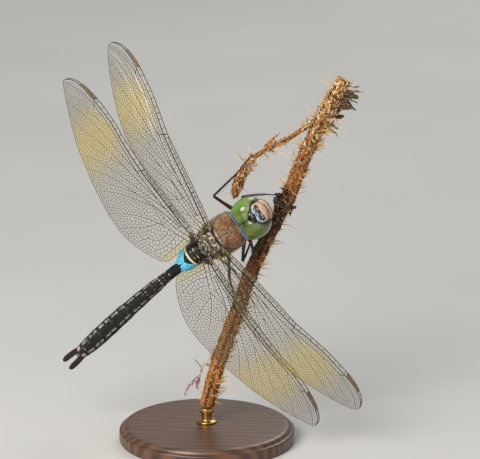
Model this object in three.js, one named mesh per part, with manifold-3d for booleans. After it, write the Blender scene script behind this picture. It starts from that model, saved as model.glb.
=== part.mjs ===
// Emperor-type hawker dragonfly at life size, still, holding a short cut length
// of spiny dry stem, which a small round stand carries.
// Units are millimetres, +Z is up.  The insect's back faces -Y.
//
// The design frame has its zero at the middle of the four wing hinges.  At the
// end the whole model is moved so that its zero is the middle of its box at the
// level of the stand's underside.

import * as THREE from 'three';
import { mergeVertices } from 'three/addons/utils/BufferGeometryUtils.js';
import Module from 'manifold-3d';

const wasm = await Module();
wasm.setup();

const V = (x, y, z) => new THREE.Vector3(x, y, z);
const rad = THREE.MathUtils.degToRad;
const clamp = THREE.MathUtils.clamp;

// ---------------------------------------------------------------- sizes

const GAP = 0.3;                 // clearance between neighbouring pieces

// how the insect is held: heading, climb and roll of the thorax
const BODY_YAW = -11.56;
const BODY_CLIMB = 35.45;
const BODY_ROLL = 84.06;

// thorax, along its own length (x forward, y left, z to the back)
const THORAX_REAR = -3.0;
const THORAX_FRONT = 8.0;
const THORAX_TOP = [[-3.0, -0.9], [-1.6, 0.2], [0.4, 0.7], [2.4, 0.75], [4.2, -0.15], [6.0, -1.7], [7.4, -3.1], [8.0, -3.9]];
const THORAX_BELLY = [[-3.0, -6.3], [-1.5, -8.4], [1.0, -9.4], [4.0, -9.5], [6.2, -9.0], [7.4, -7.7], [8.0, -6.8]];
const THORAX_HALF = [[-3.0, 2.75], [-1.5, 3.9], [1.0, 4.45], [4.0, 4.6], [6.0, 4.35], [7.4, 3.3], [8.0, 2.5]];

// head, in its own frame at HEAD_AT, tipped up by HEAD_PITCH
const HEAD_AT = V(12.5, -0.2, -2.5);
const HEAD_PITCH = 24;
const EYE_AT = V(-0.65, 2.1, 0.55);
const EYE_R = V(3.75, 2.95, 3.9);
const EYE_INNER = 3.2;           // squareness towards the seam
const EYE_OUTER = 2.15;          // and away from it
const EYE_SEAM = 0.15;           // half the gap where the two eyes meet
const CAPSULE_AT = V(-0.55, 0, -0.95);
const CAPSULE_R = V(2.95, 3.8, 2.95);
const VERTEX_AT = V(1.86, 0, 2.62);
const VERTEX_R = V(0.92, 1.34, 0.88);
const FRONS_AT = V(2.65, 0, 0.85);
const FRONS_R = V(2.15, 2.65, 1.8);
const CLYPEUS_AT = V(2.62, 0, -1.15);
const CLYPEUS_R = V(1.72, 2.66, 1.3);
const LABRUM_AT = V(1.9, 0, -2.65);
const LABRUM_R = V(1.36, 2.28, 1.0);
const LABIUM_AT = V(0.35, 0, -3.55);
const LABIUM_R = V(2.3, 2.3, 0.95);
const ANTENNA_LENGTH = 4.2;
const ANTENNA_R = 0.27;

// prothorax and neck
const PROTHORAX_AT = V(8.35, 0, -5.35);
const PROTHORAX_R = V(1.0, 2.35, 2.1);
const NECK_R = 1.25;

// abdomen: first segment leaves the thorax, the rest is nearly straight
const ABDOMEN_ROOT = V(-3.2, 0, -3.55);
const ABDOMEN_BASE = V(-4.7, 0, -3.7);
const ABDOMEN_DIR = V(-0.972, -0.118, -0.203).normalize();
const ABDOMEN_BOW = 0.32;        // the tail bows a little towards the insect's left
const SEGMENT_LENGTHS = [2.5, 4.3, 6.3, 6.1, 5.9, 5.5, 4.9, 3.75, 2.75, 2.05];
const ABDOMEN_WIDTH = [[0, 5.1], [1.6, 5.65], [3.9, 5.35], [5.9, 4.3], [8.1, 2.75], [10.5, 2.5], [14, 2.85], [18, 3.3], [24, 3.7], [30, 4.1], [35, 4.2], [39, 4.05], [42, 3.65], [44.1, 3.05]];
const ABDOMEN_HEIGHT = 0.9;      // height over width
const CERCUS_LENGTH = 5.5;
const CERCUS_WIDTH = 1.55;
const CERCUS_SPLAY = 3.2;
const EPIPROCT_LENGTH = 2.2;

// wings: outline as distance from the hinge line, leading side positive
const WING_THICK = 0.55;
const FORE_LEAD = [[0, 0.9], [4, 1.3], [10, 1.5], [24, 1.7], [30, 2.4], [36, 2.95], [42, 3.0], [45.5, 2.55], [48.2, 1.5], [49.6, 0.3], [50, -0.6]];
const FORE_TRAIL = [[0, -1.0], [2, -2.8], [6, -5.0], [12, -6.7], [20, -7.7], [28, -7.9], [34, -7.25], [40, -5.7], [44, -4.4], [47, -3.2], [49.3, -2.0], [50, -1.1]];
const HIND_LEAD = [[0, 0.8], [5, 0.9], [10, 1.0], [20, 1.2], [28, 1.8], [34, 2.7], [39, 2.95], [43, 2.7], [46, 1.95], [47.8, 0.9], [48.5, -0.3]];
const HIND_TRAIL = [[0, -8.3], [1.0, -9.6], [2.4, -10.5], [5.1, -11.7], [9.2, -12.9], [12.5, -13.3], [16, -13.1], [20.3, -12.4], [25.2, -11.3], [28.8, -10.2], [33.1, -8.9], [37.9, -6.9], [42, -4.8], [45.5, -2.9], [48, -1.3], [48.5, -0.8]];
const HIND_ANAL = 3.3;           // chord of the hindwing at the hinge, behind it
const WINGS = {
  forewing_left: { hinge: V(2.0, 2.75, 0.0), sweep: 86.1, droop: 8.5, side: 1, span: 50, hind: false },
  forewing_right: { hinge: V(2.0, -2.75, 0.0), sweep: 84.4, droop: 11.7, side: -1, span: 50, hind: false },
  hindwing_left: { hinge: V(-1.9, 2.65, -0.3), sweep: 96.8, droop: 1.8, side: 1, span: 48.5, hind: true },
  hindwing_right: { hinge: V(-1.9, -2.65, -0.3), sweep: 94.2, droop: 13.2, side: -1, span: 48.5, hind: true },
};
const WING_START = { fore: 0.55, hind: 0.75 };

// legs: coxa in the thorax frame; the other joints in the design frame
const FEMUR_R = [0.52, 0.4];
const TIBIA_R = [0.32, 0.27];
const TARSUS_R = 0.26;
const LEGS = {
  front_left: { coxa: V(7.0, 1.5, -7.4), trochanter: V(7.7, 8.2, 6.9), knee: V(8.15, 12.8, 8.36), ankle: V(13.56, 11.19, 9.31), foot: V(16.62, 11.32, 9.03), on: 'stem' },
  front_right: { coxa: V(7.0, -1.5, -7.4), trochanter: V(9.2, 5.9, 0.9), knee: V(10.71, 6.27, -3.66), ankle: V(13.2, 9.1, 0.1), foot: V(14.63, 9.9, 2.2), on: 'stem' },
  mid_left: { coxa: V(4.9, 1.9, -8.6), trochanter: V(6.3, 8.3, 6.1), knee: V(1.23, 5.86, 10.26), ankle: V(6.67, 9.44, 14.76), foot: V(9.55, 10.64, 18.06), on: 'twig' },
  mid_right: { coxa: V(4.9, -1.9, -8.6), trochanter: V(8.6, 8.4, -0.6), knee: V(8.1, 9.4, -6.6), ankle: V(10.1, 12.6, -2.3), foot: V(11.8, 12.8, -0.3), on: 'stem' },
  hind_left: { coxa: V(2.3, 1.9, -8.8), trochanter: V(3.6, 11.2, 1.4), knee: V(0.8, 15.4, -6.0), ankle: V(6.2, 14.6, -10.6), foot: V(7.6, 13.6, -12.9), on: 'stem' },
  hind_right: { coxa: V(2.3, -1.9, -8.8), trochanter: V(4.6, 9.8, -3.6), knee: V(4.9, 11.9, -11.2), ankle: V(6.1, 11.0, -15.4), foot: V(6.5, 10.4, -18.0), on: 'stem' },
};

// perch: a cut dry stem, and a side twig that ends in a dead bud
const STEM_R = 1.72;
const STEM_RIDGE = 0.09;
const STEM_PATH = [[-0.55, 10.7, -42.5], [2.43, 10.82, -31.67], [6.97, 10.92, -19.0], [9.69, 10.98, -10.62], [14.17, 11.03, -0.57], [18.74, 11.05, 8.69], [22.45, 11.07, 18.13], [27.3, 11.06, 28.47], [31.6, 11.04, 37.0]];
const TWIG_PATH = [[25.9, 11.05, 27.75], [22.88, 10.95, 25.6], [20.4, 10.8, 23.95], [17.04, 10.62, 21.85], [14.0, 10.64, 20.4], [10.26, 11.01, 17.9], [8.15, 11.68, 14.6], [6.74, 12.03, 10.9], [5.95, 12.26, 8.0]];
const TWIG_RADIUS = [[0, 0.7], [0.1, 0.55], [0.3, 0.46], [0.48, 0.5], [0.6, 0.66], [0.68, 0.8], [0.78, 1.2], [0.88, 1.35], [0.95, 1.05], [1, 0.5]];

// stand
const BASE_CENTRE = V(-0.5, 9.5, 0);
const BASE_R = 21;
const BASE_THICK = 4;
const BASE_TOP = -47;
const BASE_BEVEL = 0.6;
const ROD_R = 1.25;

// ---------------------------------------------------------------- helpers

// smooth curve through a short table of [position, value] rows
function profile(rows) {
  const n = rows.length;
  const slope = rows.map((r, i) => {
    if (i === 0) return (rows[1][1] - r[1]) / (rows[1][0] - r[0]);
    if (i === n - 1) return (r[1] - rows[n - 2][1]) / (r[0] - rows[n - 2][0]);
    const a = (r[1] - rows[i - 1][1]) / (r[0] - rows[i - 1][0]);
    const b = (rows[i + 1][1] - r[1]) / (rows[i + 1][0] - r[0]);
    return a * b <= 0 ? 0 : (2 * a * b) / (a + b);
  });
  return (x) => {
    if (x <= rows[0][0]) return rows[0][1];
    if (x >= rows[n - 1][0]) return rows[n - 1][1];
    let i = 0;
    while (x > rows[i + 1][0]) i++;
    const h = rows[i + 1][0] - rows[i][0];
    const t = (x - rows[i][0]) / h;
    const t2 = t * t, t3 = t2 * t;
    return (2 * t3 - 3 * t2 + 1) * rows[i][1] + (t3 - 2 * t2 + t) * h * slope[i]
      + (-2 * t3 + 3 * t2) * rows[i + 1][1] + (t3 - t2) * h * slope[i + 1];
  };
}

function welded(geometry) {
  for (const name of ['normal', 'uv']) if (geometry.attributes[name]) geometry.deleteAttribute(name);
  const g = mergeVertices(geometry, 1e-4);
  // faces out: a closed shape has a positive volume
  const p = g.attributes.position, ix = g.index.array;
  const a = V(), b = V(), c = V();
  let volume = 0;
  const keep = [];
  for (let i = 0; i < ix.length; i += 3) {
    if (ix[i] === ix[i + 1] || ix[i + 1] === ix[i + 2] || ix[i] === ix[i + 2]) continue;
    keep.push(ix[i], ix[i + 1], ix[i + 2]);
    a.fromBufferAttribute(p, ix[i]);
    b.fromBufferAttribute(p, ix[i + 1]);
    c.fromBufferAttribute(p, ix[i + 2]);
    volume += a.dot(b.clone().cross(c)) / 6;
  }
  if (volume < 0) for (let i = 0; i < keep.length; i += 3) [keep[i], keep[i + 1]] = [keep[i + 1], keep[i]];
  g.setIndex(keep);
  return g;
}

// a closed tube whose every ring is placed by a function of how far along it is
function loft(sides, steps, place) {
  const g = new THREE.CylinderGeometry(1, 1, 1, sides, steps, false);
  const p = g.attributes.position;
  for (let i = 0; i < p.count; i++) {
    const q = place(p.getY(i) + 0.5, p.getX(i), p.getZ(i));
    p.setXYZ(i, q.x, q.y, q.z);
  }
  return welded(g);
}

// a ball-like shape with its own radius on each axis and a squareness
function ovoid(at, r, across = 18, up = 12, power = 1) {
  const g = new THREE.SphereGeometry(1, across, up);
  g.rotateX(Math.PI / 2);
  const p = g.attributes.position;
  const s = (v) => Math.sign(v) * Math.abs(v) ** power;
  for (let i = 0; i < p.count; i++) {
    p.setXYZ(i, at.x + r.x * s(p.getX(i)), at.y + r.y * s(p.getY(i)), at.z + r.z * s(p.getZ(i)));
  }
  return welded(g);
}

// a limb along a curve, with a width and a depth at each point of it
function limb(curve, width, depth, sides, steps, up = V(0, -1, 0)) {
  return loft(sides, steps, (t, x, z) => {
    const c = curve.getPointAt(t);
    const d = curve.getTangentAt(t);
    const n = up.clone().addScaledVector(d, -up.dot(d)).normalize();
    const b = n.clone().cross(d).normalize();
    return c.addScaledVector(b, x * width(t)).addScaledVector(n, z * depth(t));
  });
}

// radius of a limb with rounded ends
const rounded = (r0, r1, tip = 0.55) => (t) => {
  const r = r0 + (r1 - r0) * t;
  return t < 1e-6 || t > 1 - 1e-6 ? r * tip : r;
};

const solid = (g) => new wasm.Manifold(new wasm.Mesh({
  numProp: 3,
  vertProperties: new Float32Array(g.attributes.position.array),
  triVerts: new Uint32Array(g.index.array),
}));

function shape(manifold) {
  const bodies = manifold.decompose();
  bodies.sort((a, b) => b.volume() - a.volume());
  const m = bodies[0].simplify(0.01).getMesh();
  const g = new THREE.BufferGeometry();
  g.setAttribute('position', new THREE.BufferAttribute(new Float32Array(m.vertProperties), 3));
  g.setIndex(new THREE.BufferAttribute(new Uint32Array(m.triVerts), 1));
  return welded(g);
}

const cut = (g, ...tools) => shape(tools.reduce((s, t) => s.subtract(solid(t)), solid(g)));
const grown = (r, by = GAP) => V(r.x + by, r.y + by, r.z + by);

const finish = (color, roughness, metalness = 0) =>
  new THREE.MeshStandardMaterial({ color, roughness, metalness, flatShading: true });

function piece(group, name, geometry, material) {
  const mesh = new THREE.Mesh(geometry, material);
  mesh.name = name;
  group.add(mesh);
  return mesh;
}

const CHITIN_BROWN = finish('#8f6a50', 0.6);
const CHITIN_DARK = finish('#2b241f', 0.5);
const SKY_BLUE = finish('#3f9ccf', 0.45);
const EYE_GREEN = finish('#5f9a3c', 0.15);
const FACE_PALE = finish('#c9a183', 0.5);
const WING_CLEAR = finish('#d7d3ae', 0.2);
const LEG_BLACK = finish('#1d1714', 0.45);
const LEG_BROWN = finish('#4b2a1c', 0.45);
const DRY_STEM = finish('#94552a', 0.85);
const DRY_TWIG = finish('#a9753f', 0.85);
const STAND_WOOD = finish('#4a3527', 0.55);
const STAND_METAL = finish('#b08d4f', 0.35, 1);

const model = new THREE.Group();

const insect = new THREE.Group();
insect.rotation.set(rad(BODY_ROLL), rad(-BODY_CLIMB), rad(BODY_YAW), 'ZYX');
model.add(insect);
insect.updateMatrixWorld(true);
const toDesign = (v) => v.clone().applyMatrix4(insect.matrixWorld);
const toInsect = (v) => v.clone().applyMatrix4(insect.matrixWorld.clone().invert());

// ---------------------------------------------------------------- thorax

const top = profile(THORAX_TOP);
const belly = profile(THORAX_BELLY);
const half = profile(THORAX_HALF);

// widest a little below the middle, narrow at the wing bases
function thoraxPoint(x, cy, cz) {
  const zt = top(x), zb = belly(x), w = half(x);
  const mid = (zt + zb) / 2 - 0.15, h = cz > 0 ? zt - mid : mid - zb;
  const sq = (v, p) => Math.sign(v) * Math.abs(v) ** p;
  return V(x, w * sq(cy, 0.94), mid + h * sq(cz, 0.94));
}

const thoraxShell = loft(20, 13, (t, cx, cz) => {
  const x = THORAX_REAR + (THORAX_FRONT - THORAX_REAR) * t;
  return thoraxPoint(x, cx, cz);
});

// the hips grow out of the thorax: coxa and trochanter of each leg
const hips = Object.values(LEGS).map((leg) => {
  const root = leg.coxa;
  const end = toInsect(leg.trochanter);
  const stop = end.clone().addScaledVector(root.clone().sub(end).normalize(), GAP * 0.6);
  const path = new THREE.LineCurve3(root, stop);
  return limb(path, (t) => 0.95 - 0.4 * t, (t) => 0.95 - 0.4 * t, 8, 2, V(0.1, 0.2, 1));
});
const thorax = shape(hips.reduce((s, h) => s.add(solid(h)), solid(thoraxShell)));
piece(insect, 'thorax', thorax, CHITIN_BROWN);

// ---------------------------------------------------------------- head

const head = new THREE.Group();
head.position.copy(HEAD_AT);
head.rotation.y = rad(-HEAD_PITCH);
insect.add(head);
insect.updateMatrixWorld(true);

function eye(side, by = 0) {
  const at = V(EYE_AT.x, EYE_AT.y, EYE_AT.z);
  const r = grown(EYE_R, by);
  const g = ovoid(V(0, 0, 0), V(1, 1, 1), 18, 13);
  const p = g.attributes.position;
  for (let i = 0; i < p.count; i++) {
    const nx = p.getX(i), ny = p.getY(i), nz = p.getZ(i);
    const across = Math.hypot(nx, nz) || 1;
    const power = ny < 0 ? EYE_INNER : EYE_OUTER;
    const fill = Math.max(1 - Math.abs(ny) ** power, 0) ** (1 / power) / across;
    const y = Math.max(at.y + r.y * ny, EYE_SEAM - by);
    p.setXYZ(i, at.x + r.x * nx * fill, side * y, at.z + r.z * nz * fill);
  }
  return welded(g);
}

// the face stands forward between the eyes, which are hollowed to go round it
const fronsBall = ovoid(FRONS_AT, FRONS_R, 16, 11);
const vertexBall = ovoid(VERTEX_AT, VERTEX_R, 12, 7);
const frons = shape(solid(fronsBall).add(solid(vertexBall)));
const fronsGrown = ovoid(FRONS_AT, grown(FRONS_R), 16, 11);
const vertexGrown = ovoid(VERTEX_AT, grown(VERTEX_R), 12, 7);
piece(head, 'frons', frons, FACE_PALE);

const clypeusGrown = ovoid(CLYPEUS_AT, grown(CLYPEUS_R), 16, 9);
const clypeus = cut(ovoid(CLYPEUS_AT, CLYPEUS_R, 16, 9), fronsGrown);
piece(head, 'clypeus', clypeus, FACE_PALE);

const eyesGrown = [eye(1, GAP), eye(-1, GAP)];
for (const side of [1, -1]) {
  piece(head, side > 0 ? 'eye_left' : 'eye_right', cut(eye(side), fronsGrown, vertexGrown, clypeusGrown), EYE_GREEN);
}

const labrum = cut(ovoid(LABRUM_AT, LABRUM_R, 14, 7), ...eyesGrown, clypeusGrown, fronsGrown);
const labrumGrown = ovoid(LABRUM_AT, grown(LABRUM_R), 14, 7);
piece(head, 'labrum', labrum, CHITIN_BROWN);

const labium = cut(ovoid(LABIUM_AT, LABIUM_R, 14, 7), ...eyesGrown, labrumGrown, clypeusGrown);
const labiumGrown = ovoid(LABIUM_AT, grown(LABIUM_R), 14, 7);
piece(head, 'labium', labium, CHITIN_BROWN);

const capsule = cut(ovoid(CAPSULE_AT, CAPSULE_R), ...eyesGrown, fronsGrown, vertexGrown, clypeusGrown, labrumGrown, labiumGrown);
piece(head, 'head_capsule', capsule, CHITIN_DARK);

for (const side of [1, -1]) {
  const root = V(2.55, side * 1.75, 2.85);
  const path = new THREE.QuadraticBezierCurve3(
    root,
    root.clone().add(V(1.0, side * 0.5, 0.9)),
    root.clone().add(V(0.72, side * 0.42, 0.45).normalize().multiplyScalar(ANTENNA_LENGTH)),
  );
  piece(head, side > 0 ? 'antenna_left' : 'antenna_right',
    limb(path, rounded(ANTENNA_R, 0.25), rounded(ANTENNA_R, 0.25), 6, 5, V(0, 0, 1)), LEG_BLACK);
}

// the same head pieces in the thorax frame, for the neck to stop short of
head.updateMatrix();
const inThorax = (g) => { const c = g.clone(); c.applyMatrix4(head.matrix); return welded(c); };
const capsuleGrown = inThorax(ovoid(CAPSULE_AT, grown(CAPSULE_R)));
const eyesInThorax = eyesGrown.map(inThorax);
const thoraxGrown = loft(20, 13, (t, cx, cz) => {
  const x = THORAX_REAR - GAP + (THORAX_FRONT - THORAX_REAR + 2 * GAP) * t;
  const q = thoraxPoint(clamp(x, THORAX_REAR, THORAX_FRONT), cx, cz);
  const r = Math.hypot(cx, cz);
  return V(x, q.y + cx * GAP * 1.3, q.z + cz * GAP * 1.3 + 0 * r);
});

const prothoraxBall = ovoid(PROTHORAX_AT, PROTHORAX_R, 16, 10);
const hipsGrown = Object.values(LEGS).slice(0, 2).map((leg) => {
  const path = new THREE.LineCurve3(leg.coxa, toInsect(leg.trochanter));
  return limb(path, (t) => 0.95 + GAP - 0.3 * t, (t) => 0.95 + GAP - 0.3 * t, 8, 2, V(0.1, 0.2, 1));
});
const prothorax = cut(prothoraxBall, thoraxGrown, capsuleGrown, ...eyesInThorax, ...hipsGrown);
piece(insect, 'prothorax', prothorax, CHITIN_BROWN);

const neckPath = new THREE.LineCurve3(V(8.2, 0, -5.1), V(10.6, 0, -4.4));
const neck = cut(
  limb(neckPath, () => NECK_R, () => NECK_R, 12, 3, V(0, 0, 1)),
  ovoid(PROTHORAX_AT, grown(PROTHORAX_R), 16, 10), thoraxGrown, capsuleGrown, ...eyesInThorax);
piece(insect, 'neck', neck, CHITIN_DARK);

// ---------------------------------------------------------------- abdomen

const along = (s) => ABDOMEN_BASE.clone().addScaledVector(ABDOMEN_DIR, s);
const abdomenAxis = (s) => {
  // s = 0 where the abdomen leaves the thorax; straight from the second segment
  const s1 = 1.55;
  const bow = ABDOMEN_BOW * Math.sin(Math.PI * clamp((s - s1 - 2) / 36, 0, 1));
  if (s >= s1 + 2) return along(s - s1).add(V(0, bow, 0));
  const a = ABDOMEN_ROOT, c = along(2);
  const b = along(0).addScaledVector(ABDOMEN_DIR, -0.2);
  const t = s / (s1 + 2);
  return a.clone().multiplyScalar((1 - t) ** 2).addScaledVector(b, 2 * t * (1 - t)).addScaledVector(c, t * t);
};
const abdomenWidth = profile(ABDOMEN_WIDTH);

let s0 = 0;
SEGMENT_LENGTHS.forEach((length, k) => {
  const from = s0 + GAP / 2, to = s0 + length - GAP / 2;
  s0 += length;
  const steps = k === 1 || k === 2 ? 4 : 3;
  const g = loft(14, k === 0 ? 2 : steps, (t, x, z) => {
    const s = from + (to - from) * (1 - t);
    const c = abdomenAxis(s);
    const d = abdomenAxis(s + 0.05).sub(abdomenAxis(s - 0.05 + (s < 0.05 ? 0.05 : 0))).normalize();
    const left = V(0, 1, 0).addScaledVector(d, -d.y).normalize();
    const up = left.clone().cross(d).multiplyScalar(-1);
    const w = abdomenWidth(s) / 2;
    const flat = z > 0 ? ABDOMEN_HEIGHT : ABDOMEN_HEIGHT * 1.02;
    return c.addScaledVector(left, x * w).addScaledVector(up, z * w * flat);
  });
  const name = `abdomen_${String(k + 1).padStart(2, '0')}`;
  piece(insect, name, g, k === 1 ? SKY_BLUE : CHITIN_DARK);
});

const tail = abdomenAxis(s0);
const leftOfTail = V(0, 1, 0).addScaledVector(ABDOMEN_DIR, -ABDOMEN_DIR.y).normalize();
const upOfTail = leftOfTail.clone().cross(ABDOMEN_DIR).multiplyScalar(-1);
const leaf = profile([[0, 0.80], [0.12, 0.92], [0.4, 0.98], [0.75, 0.96], [0.92, 0.82], [1, 0.45]]);
for (const side of [1, -1]) {
  const root = tail.clone().addScaledVector(leftOfTail, side * 0.88).addScaledVector(upOfTail, 0.35)
    .addScaledVector(ABDOMEN_DIR, GAP * 0.6);
  const tip = root.clone().addScaledVector(ABDOMEN_DIR, CERCUS_LENGTH - GAP * 0.6)
    .addScaledVector(leftOfTail, side * Math.tan(rad(CERCUS_SPLAY)) * CERCUS_LENGTH);
  const path = new THREE.QuadraticBezierCurve3(root, root.clone().lerp(tip, 0.5).addScaledVector(leftOfTail, side * 0.12), tip);
  piece(insect, side > 0 ? 'cercus_left' : 'cercus_right',
    limb(path, (t) => leaf(t) * CERCUS_WIDTH / 2, (t) => 0.3, 10, 8, upOfTail), CHITIN_DARK);
}
const epiRoot = tail.clone().addScaledVector(upOfTail, -0.75).addScaledVector(ABDOMEN_DIR, GAP * 0.6);
piece(insect, 'epiproct', limb(
  new THREE.LineCurve3(epiRoot, epiRoot.clone().addScaledVector(ABDOMEN_DIR, EPIPROCT_LENGTH)),
  (t) => 0.62 - 0.2 * t, () => 0.28, 8, 2, upOfTail), CHITIN_DARK);

// ---------------------------------------------------------------- wings

const foreLead = profile(FORE_LEAD), foreTrail = profile(FORE_TRAIL);
const hindLead = profile(HIND_LEAD), hindTrail = profile(HIND_TRAIL);

for (const [name, w] of Object.entries(WINGS)) {
  const lead = w.hind ? hindLead : foreLead, trail = w.hind ? hindTrail : foreTrail;
  const start = w.hind ? WING_START.hind : WING_START.fore;
  const g = loft(10, 22, (t, x, z) => {
    // stations crowd together at the root and at the tip
    const u = t < 0.2 ? t * 0.6 : t > 0.85 ? 1 - (1 - t) * 0.62 : 0.12 + (t - 0.2) * (0.907 - 0.12) / 0.65;
    const s = start + (w.span - start) * u;
    const a = trail(s), b = lead(s);
    const mid = (a + b) / 2, reach = (b - a) / 2;
    const chord = mid + reach * Math.sign(x) * Math.abs(x) ** 0.8;
    // the hindwing's inner margin slopes from its hinge out to its widest part
    let span = s;
    if (w.hind) span = Math.max(s, start + clamp((-chord - HIND_ANAL) * -0.1, -0.4, 0));
    const thick = (WING_THICK / 2) * Math.sign(z) * Math.abs(z) ** 0.45;
    return V(chord, w.side * span, thick);
  });
  const mesh = piece(insect, name, g, WING_CLEAR);
  const out = V(Math.cos(rad(w.droop)) * Math.cos(rad(w.sweep)), w.side * Math.cos(rad(w.droop)) * Math.sin(rad(w.sweep)), -Math.sin(rad(w.droop)));
  const y = out.clone().multiplyScalar(w.side);
  const x = V(1, 0, 0).addScaledVector(y, -y.x).normalize();
  mesh.quaternion.setFromRotationMatrix(new THREE.Matrix4().makeBasis(x, y, x.clone().cross(y)));
  mesh.position.copy(w.hinge);
}

// ---------------------------------------------------------------- perch

const stemPath = new THREE.CatmullRomCurve3(STEM_PATH.map((q) => V(...q)), false, 'centripetal');
const twigPath = new THREE.CatmullRomCurve3(TWIG_PATH.map((q) => V(...q)), false, 'centripetal');
const twigRadius = profile(TWIG_RADIUS);

const stem = loft(15, 18, (t, x, z) => {
  const c = stemPath.getPointAt(t), d = stemPath.getTangentAt(t);
  const n = V(0, -1, 0).addScaledVector(d, d.y).normalize();
  const b = n.clone().cross(d).normalize();
  const angle = Math.atan2(z, x);
  const r = Math.hypot(x, z) * (STEM_R + STEM_RIDGE * Math.cos(5 * angle) - 0.12 * t);
  return c.addScaledVector(b, r * Math.cos(angle)).addScaledVector(n, r * Math.sin(angle));
});
piece(model, 'perch_stem', stem, DRY_STEM);

const stemGrown = limb(stemPath, () => STEM_R + STEM_RIDGE + GAP, () => STEM_R + STEM_RIDGE + GAP, 20, 18);
const twig = cut(limb(twigPath, twigRadius, twigRadius, 8, 22), stemGrown);
piece(model, 'perch_twig', twig, DRY_TWIG);

// ---------------------------------------------------------------- legs

// moves a point to just clear of the perch's surface
function against(point, curve, surface) {
  let best = null, far = Infinity, at = 0;
  for (let i = 0; i <= 400; i++) {
    const c = curve.getPointAt(i / 400);
    const d = c.distanceTo(point);
    if (d < far) { far = d; best = c; at = i / 400; }
  }
  return best.clone().addScaledVector(point.clone().sub(best).normalize(), surface(at) + TARSUS_R + GAP + 0.05);
}

for (const [name, leg] of Object.entries(LEGS)) {
  const curve = leg.on === 'stem' ? stemPath : twigPath;
  const surface = leg.on === 'stem' ? () => STEM_R + STEM_RIDGE : twigRadius;
  const foot = against(leg.foot, curve, surface);
  const joint = (a, b, back) => b.clone().addScaledVector(a.clone().sub(b).normalize(), back);
  const femur = new THREE.LineCurve3(joint(leg.knee, leg.trochanter, GAP), leg.knee);
  const tibia = new THREE.LineCurve3(joint(leg.ankle, leg.knee, 0.62), joint(leg.knee, leg.ankle, 0));
  const tarsus = new THREE.LineCurve3(joint(foot, leg.ankle, 0.42), foot);
  piece(model, `leg_${name}_femur`, limb(femur, rounded(...FEMUR_R, 0.7), rounded(...FEMUR_R, 0.7), 7, 3, V(0.1, 1, 0.2)), LEG_BROWN);
  piece(model, `leg_${name}_tibia`, limb(tibia, rounded(...TIBIA_R), rounded(...TIBIA_R), 6, 3, V(0.1, 1, 0.2)), LEG_BLACK);
  piece(model, `leg_${name}_tarsus`, limb(tarsus, rounded(TARSUS_R, TARSUS_R), rounded(TARSUS_R, TARSUS_R), 6, 3, V(0.1, 1, 0.2)), LEG_BLACK);
}

// ---------------------------------------------------------------- stand

const base = new THREE.LatheGeometry([
  new THREE.Vector2(0, 0),
  new THREE.Vector2(BASE_R, 0),
  new THREE.Vector2(BASE_R, BASE_THICK - BASE_BEVEL),
  new THREE.Vector2(BASE_R - BASE_BEVEL, BASE_THICK),
  new THREE.Vector2(0, BASE_THICK),
], 48);
base.rotateX(Math.PI / 2);
const baseMesh = piece(model, 'stand_base', welded(base), STAND_WOOD);
baseMesh.position.set(BASE_CENTRE.x, BASE_CENTRE.y, BASE_TOP - BASE_THICK);

const foot = stemPath.getPointAt(0);
const rod = new THREE.LineCurve3(V(foot.x, foot.y, BASE_TOP + GAP), V(foot.x, foot.y, foot.z - 0.75));
piece(model, 'stand_rod', limb(rod, () => ROD_R, () => ROD_R, 20, 1), STAND_METAL);

// ---------------------------------------------------------------- placing

model.updateMatrixWorld(true);
const box = new THREE.Box3().setFromObject(model, true);
model.position.set(-(box.min.x + box.max.x) / 2, -(box.min.y + box.max.y) / 2, -box.min.z);

export default model;
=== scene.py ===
"""Looks for the life-size hawker dragonfly on its cut, spiny stem and round stand.

Lengths are in millimetres in the design frame, whose zero is the middle of the
four wing hinges; put() turns them into the row frame's metres.
"""
import math

import bpy
import numpy as np
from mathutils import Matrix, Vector, geometry
from mathutils.kdtree import KDTree


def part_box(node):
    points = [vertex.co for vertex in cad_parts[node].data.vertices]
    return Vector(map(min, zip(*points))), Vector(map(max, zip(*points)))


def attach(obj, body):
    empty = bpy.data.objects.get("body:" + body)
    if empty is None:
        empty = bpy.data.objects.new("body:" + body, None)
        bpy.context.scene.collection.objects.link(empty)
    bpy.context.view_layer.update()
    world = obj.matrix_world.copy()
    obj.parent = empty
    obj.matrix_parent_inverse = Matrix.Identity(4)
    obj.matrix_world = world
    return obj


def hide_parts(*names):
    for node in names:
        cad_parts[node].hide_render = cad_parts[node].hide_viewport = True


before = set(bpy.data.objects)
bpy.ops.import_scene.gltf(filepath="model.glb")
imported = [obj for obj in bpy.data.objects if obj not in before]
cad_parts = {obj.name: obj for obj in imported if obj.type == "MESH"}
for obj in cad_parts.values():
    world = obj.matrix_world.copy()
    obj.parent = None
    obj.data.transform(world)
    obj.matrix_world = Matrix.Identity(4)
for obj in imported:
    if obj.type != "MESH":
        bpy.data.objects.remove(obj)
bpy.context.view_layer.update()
rng = np.random.default_rng(11)

# ------------------------------------------------------------------ placing

BASE_CENTRE = (-0.5, 9.5)
BASE_UNDER = -51.0
_lo, _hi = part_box("stand_base")
ORIGIN = np.array([
    (_lo.x + _hi.x) / 2 - BASE_CENTRE[0] * 1e-3,
    (_lo.y + _hi.y) / 2 - BASE_CENTRE[1] * 1e-3,
    _lo.z - BASE_UNDER * 1e-3,
])


def put(p):
    """design frame mm -> row frame m"""
    return np.asarray(p, float) * 1e-3 + ORIGIN


def turn(axis, degrees):
    a = math.radians(degrees)
    c, s = math.cos(a), math.sin(a)
    return np.array({
        "x": [[1, 0, 0], [0, c, -s], [0, s, c]],
        "y": [[c, 0, s], [0, 1, 0], [-s, 0, c]],
        "z": [[c, -s, 0], [s, c, 0], [0, 0, 1]],
    }[axis])


BODY = turn("z", -11.56) @ turn("y", -35.45) @ turn("x", 84.06)
HEAD_AT = np.array([12.5, -0.2, -2.5])
HEAD = turn("y", -24)


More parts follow.
